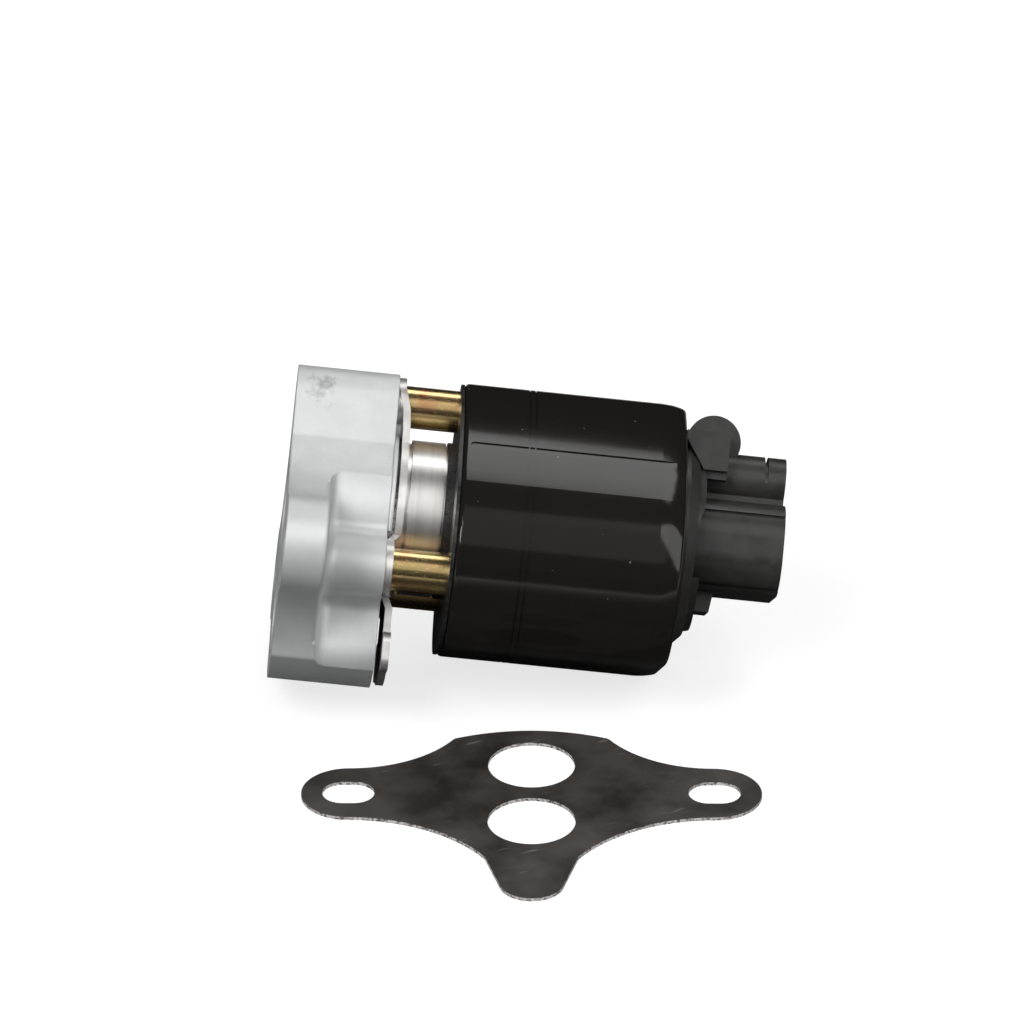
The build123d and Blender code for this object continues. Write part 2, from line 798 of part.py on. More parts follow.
return_spring = coil_spring(
    pocket_floor, core_pocket_roof, return_spring_radius, return_spring_wire, return_spring_coils
)
return_spring.part.label = "return_spring"

sensor_spring = coil_spring(
    carrier_top, cavity_roof, sensor_spring_radius, sensor_spring_wire, sensor_spring_coils
)
sensor_spring.part.label = "sensor_spring"

# ---------------------------------------------------------------- sensor and cap

with BuildPart() as cap_seal:
    with BuildSketch(Plane.XY.offset(flux_top)):
        Circle(cap_seal_radius)
        Circle(cap_seal_radius - cap_seal_width, mode=Mode.SUBTRACT)
    extrude(amount=core_top - flux_top)
cap_seal.part.label = "cap_seal"

with BuildPart() as sensor_board:
    with BuildSketch(Plane.XY.offset(core_top)):
        with Locations((track_offset + track_thickness / 2, 0)):
            Rectangle(track_thickness, track_width)
    extrude(amount=cavity_roof - core_top)
sensor_board.part.label = "sensor_board"

blade_places = [((i - (blade_count - 1) / 2) * blade_pitch, 0) for i in range(blade_count)]
blade_plane = Plane.XY.offset(cavity_roof)
with BuildPart() as terminals:
    with BuildSketch(blade_plane):
        with Locations(*blade_places):
            Rectangle(blade_width, blade_thickness)
    extrude(amount=socket_floor + blade_reach - cavity_roof)
    chamfer(terminals.edges().group_by(Axis.Z)[-1], blade_thickness / 4)
terminals.part.label = "terminals"

# raised steps on the dome, below and above the shroud; the upper one has a ramp
with BuildPart() as dome_steps:
    with BuildSketch(Plane.YZ):
        with BuildLine():
            Polyline(
                (-cap_step_radius, ring_top),
                (-cap_step_radius, step_top),
                (lower_step_y, step_top),
                (lower_step_y, cap_top),
                (ramp_foot_y, cap_top),
                (ramp_top_y, step_top),
                (cap_step_radius, step_top),
                (cap_step_radius, ring_top),
                close=True,
            )
        make_face()
    extrude(amount=cap_step_radius, both=True)
    with BuildSketch(Plane.XZ):
        with BuildLine():
            Polyline(
                (0, ring_top),
                (cap_step_radius, ring_top),
                (cap_step_radius - cap_step_draft, step_top),
                (0, step_top),
                close=True,
            )
        make_face()
    revolve(axis=Axis.Z, mode=Mode.INTERSECT)

with BuildPart() as sensor_cap:
    # shoulder held under the can's lip, round neck, ring over the can's end and dome
    shoulder_inset = can_wall + can_nose_inset + cap_shoulder_gap
    extrude(can_profile(Plane.XY.offset(core_top), shoulder_inset), amount=lip_floor - core_top)
    with BuildSketch(Plane.XZ):
        with BuildLine():
            Polyline(
                (0, core_top),
                (cap_neck_radius, core_top),
                (cap_neck_radius, ring_floor),
                (cap_ring_radius, ring_floor),
                (cap_ring_radius, ring_top),
                (cap_cone_radius, cap_top),
                (0, cap_top),
                close=True,
            )
        make_face()
    revolve(axis=Axis.Z)
    add(dome_steps.part)
    # connector shroud: oval walls, recessed between an upper and a lower rail
    with BuildSketch(Plane.XY.offset(cap_top)):
        RectangleRounded(2 * socket_half_width, 2 * socket_half_height, socket_corner_radius)
        with Locations((0, (lower_rail - upper_rail) / 2)):
            Rectangle(
                2 * socket_half_width,
                2 * socket_half_height - lower_rail - upper_rail,
                mode=Mode.SUBTRACT,
            )
        RectangleRounded(
            2 * (socket_half_width - socket_side_recess),
            2 * (socket_half_height - socket_side_recess),
            socket_corner_radius - socket_side_recess,
        )
    extrude(amount=socket_length)
    # keying rib over the shroud, with a groove near its end
    with BuildSketch(Plane.XY.offset(cap_top)):
        with Locations((0, rib_y)):
            Circle(rib_radius)
            Rectangle(2 * rib_web_half_width, rib_y, align=(Align.CENTER, Align.MAX))
    extrude(amount=socket_length)
    with BuildSketch(Plane.XY.offset(socket_top - rib_groove_from_end - rib_groove_width)):
        with Locations((0, rib_y)):
            Circle(rib_radius + rib_groove_depth)
        with Locations((0, rib_y - rib_groove_depth)):
            Circle(rib_radius, mode=Mode.SUBTRACT)
            Rectangle(4 * rib_radius, 2 * rib_radius, align=(Align.CENTER, Align.MAX), mode=Mode.SUBTRACT)
    extrude(amount=rib_groove_width, mode=Mode.SUBTRACT)
    # round boss and bevelled lug across the rib, heel under the lug, small foot below the shroud
    with BuildSketch(Plane.YZ.offset(-disc_half_width)):
        with Locations((disc_y, can_top + disc_above_can)):
            Circle(disc_radius)
    extrude(amount=2 * disc_half_width)
    tab_bottom_y = tab_y - tab_height / 2
    tab_top_y = tab_y + tab_height / 2
    tab_end = ring_floor + tab_length
    with BuildSketch(Plane.YZ.offset(-tab_half_width)):
        with BuildLine():
            Polyline(
                (tab_bottom_y + tab_bevel_height, ring_floor),
                (tab_top_y, ring_floor),
                (tab_top_y, tab_end),
                (tab_bottom_y, tab_end),
                (tab_bottom_y, ring_floor + tab_bevel_length),
                close=True,
            )
        make_face()
    extrude(amount=2 * tab_half_width)
    with BuildSketch(Plane.YZ.offset(tab_heel_inset - tab_half_width)):
        with Locations((tab_bottom_y, tab_end)):
            Rectangle(tab_heel_drop, tab_heel_length, align=Align.MAX)
    extrude(amount=2 * (tab_half_width - tab_heel_inset))
    foot_root_y = socket_wall - socket_half_height
    foot_end = step_top + foot_length
    with BuildSketch(Plane.YZ.offset(-foot_half_width)):
        with BuildLine():
            Polyline(
                (foot_root_y, cap_top),
                (foot_root_y, foot_end),
                (-socket_half_height, foot_end),
                (-socket_half_height - foot_height, foot_end - foot_slant),
                (-socket_half_height - foot_height, cap_top),
                close=True,
            )
        make_face()
    extrude(amount=2 * foot_half_width)
    # sensor cavity, socket and the slots of the blades
    with BuildSketch(Plane.XY.offset(core_top)):
        Circle(cap_cavity_radius)
    extrude(amount=cavity_roof - core_top, mode=Mode.SUBTRACT)
    with BuildSketch(Plane.XY.offset(socket_floor)):
        RectangleRounded(
            2 * (socket_half_width - socket_wall),
            2 * (socket_half_height - socket_wall),
            socket_corner_radius - socket_wall,
        )
    extrude(amount=socket_depth, mode=Mode.SUBTRACT)
    with BuildSketch(blade_plane):
        with Locations(*blade_places):
            Rectangle(blade_width, blade_thickness)
    extrude(amount=socket_floor - cavity_roof, mode=Mode.SUBTRACT)
sensor_cap.part.label = "sensor_cap"

# ---------------------------------------------------------------- resting pose on the bench


def lowest_point(centre_x, centre_y, height, radius, down):
    """Point of a rounded corner that lies furthest along down."""
    sideways = Vector(down.X, down.Y, 0).normalized()
    return Vector(centre_x, centre_y, height) + sideways * radius


# The valve lies on the far ear's tip, the plate's far tab and the start of the can's nose.
# The lowest points depend on which way is down, so a rough direction is improved until it settles.
nose_contact_rise, nose_contact_share = nose_steps[1]
settling_rounds = 12
down = Vector(0.57, -0.81, 0.12).normalized()
for _ in range(settling_rounds):
    ear_tip = lowest_point(
        bolt_spacing / 2, ear_line_y, ear_thickness - ear_edge_rounding, ear_radius, down
    )
    tab_corner = lowest_point(
        plate_tab_reach - plate_tab_radius,
        broad_edge_y + plate_tab_setback + plate_tab_radius,
        plate_top + tab_lift_share * joggle,
        plate_tab_radius,
        down,
    )
    can_edge = lowest_point(
        can_shoulder_x,
        can_shoulder_y,
        nose_floor + can_nose_length * nose_contact_rise,
        can_shoulder_radius - can_nose_inset * nose_contact_share,
        down,
    )
    normal = (tab_corner - ear_tip).cross(can_edge - ear_tip).normalized()
    down = normal if normal.dot(down) > 0 else -normal
up = -down
stem = Vector(0, 0, 1)
along_bench = (stem - up * stem.dot(up)).normalized()
resting_pose = Plane(origin=(0, 0, 0), x_dir=along_bench, z_dir=up).location.inverse()

valve_pieces = [
    base_casting,
    valve_seat,
    pintle,
    stem_shield,
    stem_bushing,
    stem_guide,
    base_seal,
    heat_shield,
    guide_tube,
    *spacers,
    *screw_pieces,
    lower_pole,
    pole_plate,
    solenoid_can,
    bobbin,
    coil_winding,
    armature_sleeve,
    armature,
    return_spring,
    upper_pole,
    flux_plate,
    cap_seal,
    sensor_cap,
    terminals,
    sensor_plunger,
    sensor_wiper,
    sensor_spring,
    sensor_board,
]
for piece in valve_pieces:
    piece.part.move(resting_pose)
    export_step(piece.part, "parts/" + piece.part.label + ".step")
bench_height = min(piece.part.bounding_box().min.Z for piece in (base_casting, solenoid_can))

# ---------------------------------------------------------------- loose gasket on the bench

gasket_plane = Plane(origin=(gasket_x, gasket_y, bench_height), x_dir=(-1, 0, 0), z_dir=(0, 0, 1))
with BuildPart() as mounting_gasket:
    with BuildSketch(gasket_plane):
        with Locations((0, -ear_line_y)):
            add(flange_profile(Plane.XY))
            with Locations((0, 0), (0, -port_pitch)):
                Circle(port_diameter / 2, mode=Mode.SUBTRACT)
            with Locations(*ear_places):
                SlotOverall(gasket_slot_length, gasket_slot_width, mode=Mode.SUBTRACT)
    extrude(amount=gasket_thickness)
mounting_gasket.part.label = "mounting_gasket"
export_step(mounting_gasket.part, "parts/mounting_gasket.step")

slope = degrees(acos(stem.dot(along_bench)))
print("slope", round(slope, 2), "down", down, "bench", round(bench_height, 2))
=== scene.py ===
import json
from math import cos, pi, radians, sin

import bpy
from bpy.props import FloatProperty, FloatVectorProperty, PointerProperty
from mathutils import Matrix, Vector


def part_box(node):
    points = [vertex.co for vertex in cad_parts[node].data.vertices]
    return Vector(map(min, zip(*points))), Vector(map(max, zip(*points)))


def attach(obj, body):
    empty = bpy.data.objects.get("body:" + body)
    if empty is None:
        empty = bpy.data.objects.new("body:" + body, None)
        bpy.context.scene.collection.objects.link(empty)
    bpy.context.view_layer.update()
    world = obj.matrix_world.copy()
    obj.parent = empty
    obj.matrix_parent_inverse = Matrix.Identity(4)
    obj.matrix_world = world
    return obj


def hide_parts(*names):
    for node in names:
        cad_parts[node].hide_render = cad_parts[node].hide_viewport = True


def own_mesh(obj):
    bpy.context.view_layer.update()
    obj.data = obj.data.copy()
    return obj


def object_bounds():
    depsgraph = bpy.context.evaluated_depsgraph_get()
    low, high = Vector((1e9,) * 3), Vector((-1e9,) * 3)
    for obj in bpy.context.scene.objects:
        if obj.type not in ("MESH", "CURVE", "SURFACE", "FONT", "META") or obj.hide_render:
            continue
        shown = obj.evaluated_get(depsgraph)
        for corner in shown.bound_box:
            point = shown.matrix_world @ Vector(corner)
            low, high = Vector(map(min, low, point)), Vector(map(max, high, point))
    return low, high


bl_info = {
    "name": "EGR Valve Finish",
    "version": (1, 0, 0),
    "blender": (4, 5, 0),
    "location": "3D View > Sidebar > EGR Valve",
    "description": "Finishes an exhaust gas recirculation valve and sets up a pale studio",
    "category": "Material",
}

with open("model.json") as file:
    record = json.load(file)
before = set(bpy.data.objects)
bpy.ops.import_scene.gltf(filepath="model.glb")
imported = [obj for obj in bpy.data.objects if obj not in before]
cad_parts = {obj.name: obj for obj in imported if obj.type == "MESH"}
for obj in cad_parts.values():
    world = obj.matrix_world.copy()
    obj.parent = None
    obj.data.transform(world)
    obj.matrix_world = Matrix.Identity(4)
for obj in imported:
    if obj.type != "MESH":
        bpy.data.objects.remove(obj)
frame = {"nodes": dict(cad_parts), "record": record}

MM = 0.001
WELD_DISTANCE = 0.001 * MM  # points nearer than this are one
IMAGE_SIDE_PX = 1020
SENSOR_MM = 36.0
CLIP_END = 20.0  # metres, beyond the whole floor

MOUNTS = {mount["name"]: mount for mount in frame["record"]["mounts"]}


def valve_axes():
    """Rotation from the valve's own axes (stem along Z, flange lobe along Y) to the frame's."""
    exhaust = MOUNTS["exhaust_port"]
    stem = -Vector(exhaust["axis"]).normalized()
    lobe = (Vector(exhaust["pos_m"]) - Vector(MOUNTS["intake_port"]["pos_m"])).normalized()
    side = lobe.cross(stem).normalized()
    return Matrix((side, stem.cross(side), stem)).transposed()


VALVE = valve_axes()
BENCH_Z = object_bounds()[0].z  # the object's lowest point lies on the bench

# The stain on the casting's lobe, in the valve's own axes, and how far it reaches.
STAIN_PLACE_MM = (-7.2, 27.8, 5.8)
STAIN_REACH_MM = 7.0

# What most values of a noise texture lie between.
NOISE_LOW = 0.3
NOISE_HIGH = 0.7

# A wave texture turns through this many radians in one unit of scaled length.
WAVE_RADIANS = 20

# Each softbox: its side of the valve, place, width, height and shape, in metres. The studio
# settings hold how bright each side is.
SOFTBOXES = (
    ("behind", (0.3, 0.689, 1.102), 0.6, 0.435, "RECTANGLE"),
    ("left", (-0.75, -1.15, 1.4), 0.8, 0.8, "RECTANGLE"),
    ("right", (1.15, -0.9, 1.25), 0.95, 2.1, "ELLIPSE"),
    ("front", (0.05, -0.88, 1.21), 1.2, 1.2, "RECTANGLE"),
)

# Each black card, in metres: its side of the valve, its Y, the height of its top and its width.
# Their middles are at the same X.
FLAGS = (
    ("behind", 0.7, 0.62, 2.4),
    ("front", -0.7, 0.12, 1.6),
)
FLAG_X = 0.05

FLOOR_SIDE = 6.0
FLOOR_GLOW = 0.76  # with the lamps' light on it, this makes the paper white

# Reflections see painted shade on the floor up to the first distance from under the valve, in
# metres, and white from the second on.
SHADE_END = 0.15
WHITE_START = 0.6

# Reflected rays that rise by this much of their length or more find the ceiling this bright.
CEILING_RISE = 0.12
CEILING_LEVEL = 0.05


# ---------------------------------------------------------------- helpers


def linear(hex_code):
    """Linear RGBA of an sRGB colour written as six hex digits."""
    shares = [int(hex_code[i : i + 2], 16) / 255 for i in (0, 2, 4)]
    curve = [s / 12.92 if s <= 0.04045 else ((s + 0.055) / 1.055) ** 2.4 for s in shares]
    return (*curve, 1.0)


def add_node(tree, kind, settings=None, links=None):
    """Adds a node, sets its properties and socket values by name, and links sockets into it."""
    node = tree.nodes.new(kind)
    for key, value in (settings or {}).items():
        if isinstance(key, str) and hasattr(node, key):
            setattr(node, key, value)
        else:
            node.inputs[key].default_value = value
    for key, socket in (links or {}).items():
        tree.links.new(socket, node.inputs[key])
    return node


def start_material(name, shader_settings=None):
    """A node material with one Principled shader, its node tree and that shader."""
    material = bpy.data.materials.new(name)
    material.use_nodes = True
    tree = material.node_tree
    tree.nodes.clear()
    shader = add_node(tree, "ShaderNodeBsdfPrincipled", shader_settings)
    add_node(tree, "ShaderNodeOutputMaterial", links={"Surface": shader.outputs["BSDF"]})
    return material, tree, shader


def valve_position(tree, stretch=(1, 1, 1)):
    """Place on the valve along its own axes, in metres, with each axis multiplied by stretch."""
    place = add_node(tree, "ShaderNodeTexCoord")
    turned = add_node(
        tree,
        "ShaderNodeMapping",
        {"Rotation": VALVE.transposed().to_euler()},
        {"Vector": place.outputs["Object"]},
    )
    return add_node(
        tree, "ShaderNodeMapping", {"Scale": stretch}, {"Vector": turned.outputs["Vector"]}
    ).outputs["Vector"]


def per_metre(size_mm):
    """Texture scale at which one cell of the pattern is size_mm wide."""
    return 1 / (size_mm * MM)


def vary_roughness(tree, shader, pattern, low, high):
    """Roughness that runs from low to high with a pattern."""
    span = add_node(
        tree, "ShaderNodeMapRange",
        {"From Min": NOISE_LOW, "From Max": NOISE_HIGH, "To Min": low, "To Max": high},
        {"Value": pattern},
    )
    tree.links.new(span.outputs["Result"], shader.inputs["Roughness"])


def two_tone(tree, pattern, first, second, start=0.35, end=0.65):
    """Colour that runs from first to second while the pattern runs from start to end."""
    ramp = add_node(tree, "ShaderNodeValToRGB", links={"Fac": pattern})
    ramp.color_ramp.elements[0].position = start
    ramp.color_ramp.elements[1].position = end
    ramp.color_ramp.elements[0].color = first
    ramp.color_ramp.elements[1].color = second
    return ramp.outputs["Color"]


def vary_colour(tree, shader, pattern, first, second, **reach):
    """Base colour that runs between two tones with a pattern."""
    colour = two_tone(tree, pattern, first, second, **reach)
    tree.links.new(colour, shader.inputs["Base Color"])


def raise_surface(tree, shader, pattern, height_mm, strength, below=None):
    """Bump of the pattern, height_mm high, on top of the bump below it."""
    links = {"Height": pattern}
    if below is not None:
        links["Normal"] = below
    bump = add_node(
        tree, "ShaderNodeBump", {"Strength": strength, "Distance": height_mm * MM}, links
    )
    tree.links.new(bump.outputs["Normal"], shader.inputs["Normal"])
    return bump.outputs["Normal"]


def paint(node_names, material):
    """Gives CAD nodes their material."""
    for name in node_names:
        slots = frame["nodes"][name].data.materials
        slots.clear()
        slots.append(material)


def weld_all():
    """Merges the points of the mesh in edit mode that lie on each other."""
    bpy.ops.mesh.select_all(action="SELECT")
    bpy.ops.mesh.remove_doubles(threshold=WELD_DISTANCE)


def new_piece(name, body, material):
    """Names the active mesh, turns it from the valve's axes and ties it to its body."""
    piece = bpy.context.object
    piece.name = name
    piece.data.name = name
    piece.matrix_world = VALVE.to_4x4() @ piece.matrix_world
    bpy.ops.object.transform_apply(location=True, rotation=True, scale=True)
    piece.data.materials.clear()
    piece.data.materials.append(material)
    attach(piece, body)


# ---------------------------------------------------------------- materials


def shot_blasted_aluminium(colours):
    """Die-cast aluminium, shot blasted: pale grey, nearly matte, fine even grain, soft edges.

    The blasting leaves a dull oxide skin, so only part of the surface answers as bare metal.
    """
    material, tree, shader = start_material("aluminium_die_cast_shot_blasted", {"Metallic": 0.55})
    where = valve_position(tree)
    soft_edge = add_node(tree, "ShaderNodeBevel", {"samples": 4, "Radius": 0.5 * MM})
    cloud = add_node(
        tree, "ShaderNodeTexNoise", {"Scale": per_metre(7), "Detail": 4.0, "Roughness": 0.6},
        {"Vector": where},
    )
    # The shot leaves dimples about 0.2 mm wide, which are drawn 0.6 mm wide so that they show.
    grain = add_node(
        tree, "ShaderNodeTexNoise", {"Scale": per_metre(0.6), "Detail": 3.0}, {"Vector": where}
    )
    skin = two_tone(tree, cloud.outputs["Fac"], colours.aluminium_dull, colours.aluminium)
    stain_edge = add_node(
        tree, "ShaderNodeTexNoise", {"Scale": per_metre(3.2), "Detail": 4.0, "Roughness": 0.6},
        {"Vector": where},
    )
    distance = add_node(
        tree, "ShaderNodeVectorMath",
        {"operation": "DISTANCE", 1: Vector(STAIN_PLACE_MM) * MM}, {0: where},
    )
    # Nearness lifts the noise in the middle of the stain and lowers it outside, for a ragged edge.
    nearness = add_node(
        tree, "ShaderNodeMapRange",
        {"From Min": 0.0, "From Max": STAIN_REACH_MM * MM, "To Min": 0.3, "To Max": -0.15},
        {"Value": distance.outputs["Value"]},
    )
    stain = add_node(
        tree, "ShaderNodeMath", {"operation": "ADD"},
        {0: stain_edge.outputs["Fac"], 1: nearness.outputs["Result"]},
    )
    # The skin is clean up to 0.56 and three quarters stained from 0.84 on.
    stain_share = add_node(
        tree, "ShaderNodeMapRange", {"From Min": 0.56, "From Max": 0.84, "To Max": 0.75},
        {"Value": stain.outputs[0]},
    )
    stained = add_node(
        tree, "ShaderNodeMix", {"data_type": "RGBA", "B": colours.aluminium_stain},
        {"Factor": stain_share.outputs["Result"], "A": skin},
    )
    tree.links.new(stained.outputs["Result"], shader.inputs["Base Color"])
    vary_roughness(tree, shader, grain.outputs["Fac"], low=0.52, high=0.62)
    dimpled = raise_surface(
        tree, shader, grain.outputs["Fac"], height_mm=0.03, strength=0.45,
        below=soft_edge.outputs["Normal"],
    )
    raise_surface(
        tree, shader, cloud.outputs["Fac"], height_mm=0.05, strength=0.2, below=dimpled
    )
    return material


def rolled_stainless(colours):
    """Stainless strip, cold rolled and tumbled after pressing: bright, soft sheen, faint bands.

    The rolling lines are too fine to show, so they are drawn as bands 4 mm wide and 50 mm long.
    """
    material, tree, shader = start_material("stainless_strip_cold_rolled", {"Metallic": 0.9})
    lines = add_node(
        tree, "ShaderNodeTexNoise", {"Scale": per_metre(4), "Detail": 2.0},
        {"Vector": valve_position(tree, (0.08, 1, 1))},
    )
    vary_colour(tree, shader, lines.outputs["Fac"], colours.stainless_dull, colours.stainless)
    vary_roughness(tree, shader, lines.outputs["Fac"], low=0.38, high=0.46)
    return material


def drawn_stainless_tube(colours):
    """Stainless tube, turned and polished: bright, soft sheen, faint rings round the stem.

    The tool's rings are about 0.1 mm apart, and are drawn 1.5 mm wide so that they show.
    """
    material, tree, shader = start_material("stainless_tube_polished", {"Metallic": 1.0})
    rings = add_node(
        tree, "ShaderNodeTexNoise", {"Scale": per_metre(1.5), "Detail": 3.0},
        {"Vector": valve_position(tree, (0.02, 0.02, 1))},
    )
    vary_colour(tree, shader, rings.outputs["Fac"], colours.stainless_dull, colours.stainless)
    vary_roughness(tree, shader, rings.outputs["Fac"], low=0.32, high=0.38)
    return material


def yellow_chromate(colours):
    """Steel, zinc plated and yellow chromated: gold with rainbow drifts of rose and green.

    The draw marks of the tube are too fine to show, so they are made 0.4 mm wide and 2 mm long.
    """
    material, tree, shader = start_material("steel_zinc_yellow_chromate", {"Metallic": 1.0})
    film = add_node(
        tree, "ShaderNodeTexNoise", {"Scale": per_metre(6), "Detail": 2.0, "Distortion": 0.4},
        {"Vector": valve_position(tree)},
    )
    ramp = add_node(tree, "ShaderNodeValToRGB", links={"Fac": film.outputs["Fac"]})
    ramp.color_ramp.elements[0].position = 0.3
    ramp.color_ramp.elements[0].color = colours.chromate_rose
    ramp.color_ramp.elements[1].position = 0.7
    ramp.color_ramp.elements[1].color = colours.chromate_green
    ramp.color_ramp.elements.new(0.5).color = colours.chromate_gold
    tree.links.new(ramp.outputs["Color"], shader.inputs["Base Color"])
    marks = add_node(
        tree, "ShaderNodeTexNoise", {"Scale": per_metre(0.4), "Detail": 2.0},
        {"Vector": valve_position(tree, (1, 1, 0.2))},
    )
    vary_roughness(tree, shader, marks.outputs["Fac"], low=0.2, high=0.28)
    return material


def turned_steel(colours):
    """Steel, turned: mid grey, with tool rings round the stem.

    The rings are 0.1 to 0.2 mm apart, and are drawn 0.35 mm wide so that they show.
    """
    material, tree, shader = start_material("steel_turned", {"Metallic": 1.0})
    rings = add_node(
        tree, "ShaderNodeTexNoise", {"Scale": per_metre(0.35), "Detail": 3.0},
        {"Vector": valve_position(tree, (0.03, 0.03, 1))},
    )
    vary_colour(tree, shader, rings.outputs["Fac"], colours.steel_dark, colours.steel)
    vary_roughness(tree, shader, rings.outputs["Fac"], low=0.24, high=0.42)
    raise_surface(tree, shader, rings.outputs["Fac"], height_mm=0.01, strength=0.5)
    return material


def zinc_steel_painted_shade(colours):
    """Steel plate, pressed and zinc plated, painted dark grey for its shade between tube and can;
    1.6 mm spangle.
    """
    material, tree, shader = start_material("steel_zinc_plated_painted_shade", {"Metallic": 0.8})
    spangle = add_node(
        tree, "ShaderNodeTexVoronoi", {"Scale": per_metre(1.6)}, {"Vector": valve_position(tree)}
    )
    # Painted shade: the plate is coloured dark grey for the shade it sits in between the guide tube
    # and the can.
    vary_colour(
        tree, shader, spangle.outputs["Distance"], colours.pole_plate_painted_shade, colours.phosphate,
        start=0.0, end=0.9,
    )
    vary_roughness(tree, shader, spangle.outputs["Distance"], low=0.32, high=0.46)
    return material


def phosphated_steel(colours):
    """Steel, phosphated and oiled: dark grey crystal film with a low sheen.

    The crystals are under 0.05 mm across, and are drawn 0.5 mm across so that they show.
    """
    material, tree, shader = start_material("steel_phosphated", {"Metallic": 0.7})
    crystal = add_node(
        tree, "ShaderNodeTexNoise", {"Scale": per_metre(0.5), "Detail": 4.0},
        {"Vector": valve_position(tree)},
    )
    vary_colour(tree, shader, crystal.outputs["Fac"], colours.phosphate_dark, colours.phosphate)
    vary_roughness(tree, shader, crystal.outputs["Fac"], low=0.38, high=0.55)
    raise_surface(tree, shader, crystal.outputs["Fac"], height_mm=0.01, strength=0.5)
    return material


def black_enamel(colours):
    """Deep-drawn steel can, black enamelled: glossy, with slight orange peel and settled dust."""
    material, tree, shader = start_material("steel_black_enamel", {"Specular IOR Level": 0.3})
    where = valve_position(tree)
    peel = add_node(
        tree, "ShaderNodeTexNoise", {"Scale": per_metre(3.5), "Detail": 2.0}, {"Vector": where}
    )
    dust = add_node(
        tree, "ShaderNodeTexVoronoi", {"Scale": per_metre(6)}, {"Vector": where}
    )
    # One speck to a 6 mm cell, about 0.2 mm in radius. The surface cuts through only a few.
    speck = add_node(
        tree, "ShaderNodeMapRange",
        {"From Min": 0.03, "From Max": 0.05, "To Min": 1.0, "To Max": 0.0},
        {"Value": dust.outputs["Distance"]},
    )
    # Wiping leaves the gloss uneven, in streaks 9 mm wide and 26 mm long.
    wipe = add_node(
        tree, "ShaderNodeTexNoise", {"Scale": per_metre(9), "Detail": 5.0, "Roughness": 0.65},
        {"Vector": valve_position(tree, (1, 1, 0.35))},
    )
    vary_colour(
        tree, shader, speck.outputs["Result"], colours.enamel, colours.dust, start=0.2, end=1.0
    )
    vary_roughness(tree, shader, wipe.outputs["Fac"], low=0.09, high=0.15)
    raise_surface(tree, shader, peel.outputs["Fac"], height_mm=0.01, strength=0.25)
    return material


def moulded_black_nylon(colours):
    """Glass-filled nylon, moulded: charcoal black, soft sheen, with flow marks from the fibre."""
    material, tree, shader = start_material("nylon_glass_filled_moulded")
    where = valve_position(tree)
    flow = add_node(
        tree, "ShaderNodeTexNoise", {"Scale": per_metre(4), "Detail": 5.0, "Distortion": 0.8},
        {"Vector": where},
    )
    grain = add_node(
        tree, "ShaderNodeTexNoise", {"Scale": per_metre(0.3), "Detail": 2.0}, {"Vector": where}
    )
    vary_colour(tree, shader, flow.outputs["Fac"], colours.nylon_dark, colours.nylon)
    vary_roughness(tree, shader, flow.outputs["Fac"], low=0.34, high=0.5)
    raise_surface(tree, shader, grain.outputs["Fac"], height_mm=0.012, strength=0.5)
    return material


def natural_nylon(colours):
    """Nylon, moulded and uncoloured: ivory, slightly waxy."""
    material, tree, shader = start_material("nylon_natural_moulded", {"Subsurface Weight": 0.1})
    flow = add_node(
        tree, "ShaderNodeTexNoise", {"Scale": per_metre(5), "Detail": 3.0},
        {"Vector": valve_position(tree)},
    )
    vary_colour(tree, shader, flow.outputs["Fac"], colours.ivory_dark, colours.ivory)
    vary_roughness(tree, shader, flow.outputs["Fac"], low=0.35, high=0.5)
    return material


def sintered_bronze(colours):
    """Bronze, sintered: brown-gold with open pores.

    The pores are about 0.05 mm wide, and are drawn 0.35 mm apart so that they show.
    """
    material, tree, shader = start_material("bronze_sintered", {"Metallic": 1.0, "Roughness": 0.45})
    pores = add_node(
        tree, "ShaderNodeTexVoronoi", {"Scale": per_metre(0.35)}, {"Vector": valve_position(tree)}
    )
    vary_colour(
        tree, shader, pores.outputs["Distance"], colours.bronze_dark, colours.bronze,
        start=0.05, end=0.3,
    )
    raise_surface(tree, shader, pores.outputs["Distance"], height_mm=0.03, strength=0.6)
    return material


def enamelled_copper(colours):
    """Copper wire, enamelled and wound: glossy orange-brown turns.

    The turns are 0.5 mm apart, and are drawn about 3.1 mm apart so that they show.
    """
    material, tree, shader = start_material(
        "copper_wire_enamelled", {"Metallic": 1.0, "Roughness": 0.28, "Coat Weight": 0.6}
    )
    turns = add_node(
        tree, "ShaderNodeTexWave",
        {"bands_direction": "Z", "Scale": per_metre(3.1416) * 2 * pi / WAVE_RADIANS},
        {"Vector": valve_position(tree)},
    )
    vary_colour(
        tree, shader, turns.outputs["Fac"], colours.copper_dark, colours.copper, start=0.1, end=0.6
    )
    raise_surface(tree, shader, turns.outputs["Fac"], height_mm=0.15, strength=0.8)
    return material


def tinned_brass(colours):
    """Brass blade, tin plated: soft silver with fine punching lines.

    The lines are about 0.05 mm wide, and are drawn 0.4 mm wide so that they show.
    """
    material, tree, shader = start_material("brass_tin_plated", {"Metallic": 1.0})
    lines = add_node(
        tree, "ShaderNodeTexNoise", {"Scale": per_metre(0.4), "Detail": 2.0},
        {"Vector": valve_position(tree, (1, 1, 0.05))},
    )
    vary_colour(tree, shader, lines.outputs["Fac"], colours.steel, colours.tin)
    vary_roughness(tree, shader, lines.outputs["Fac"], low=0.22, high=0.38)
    return material


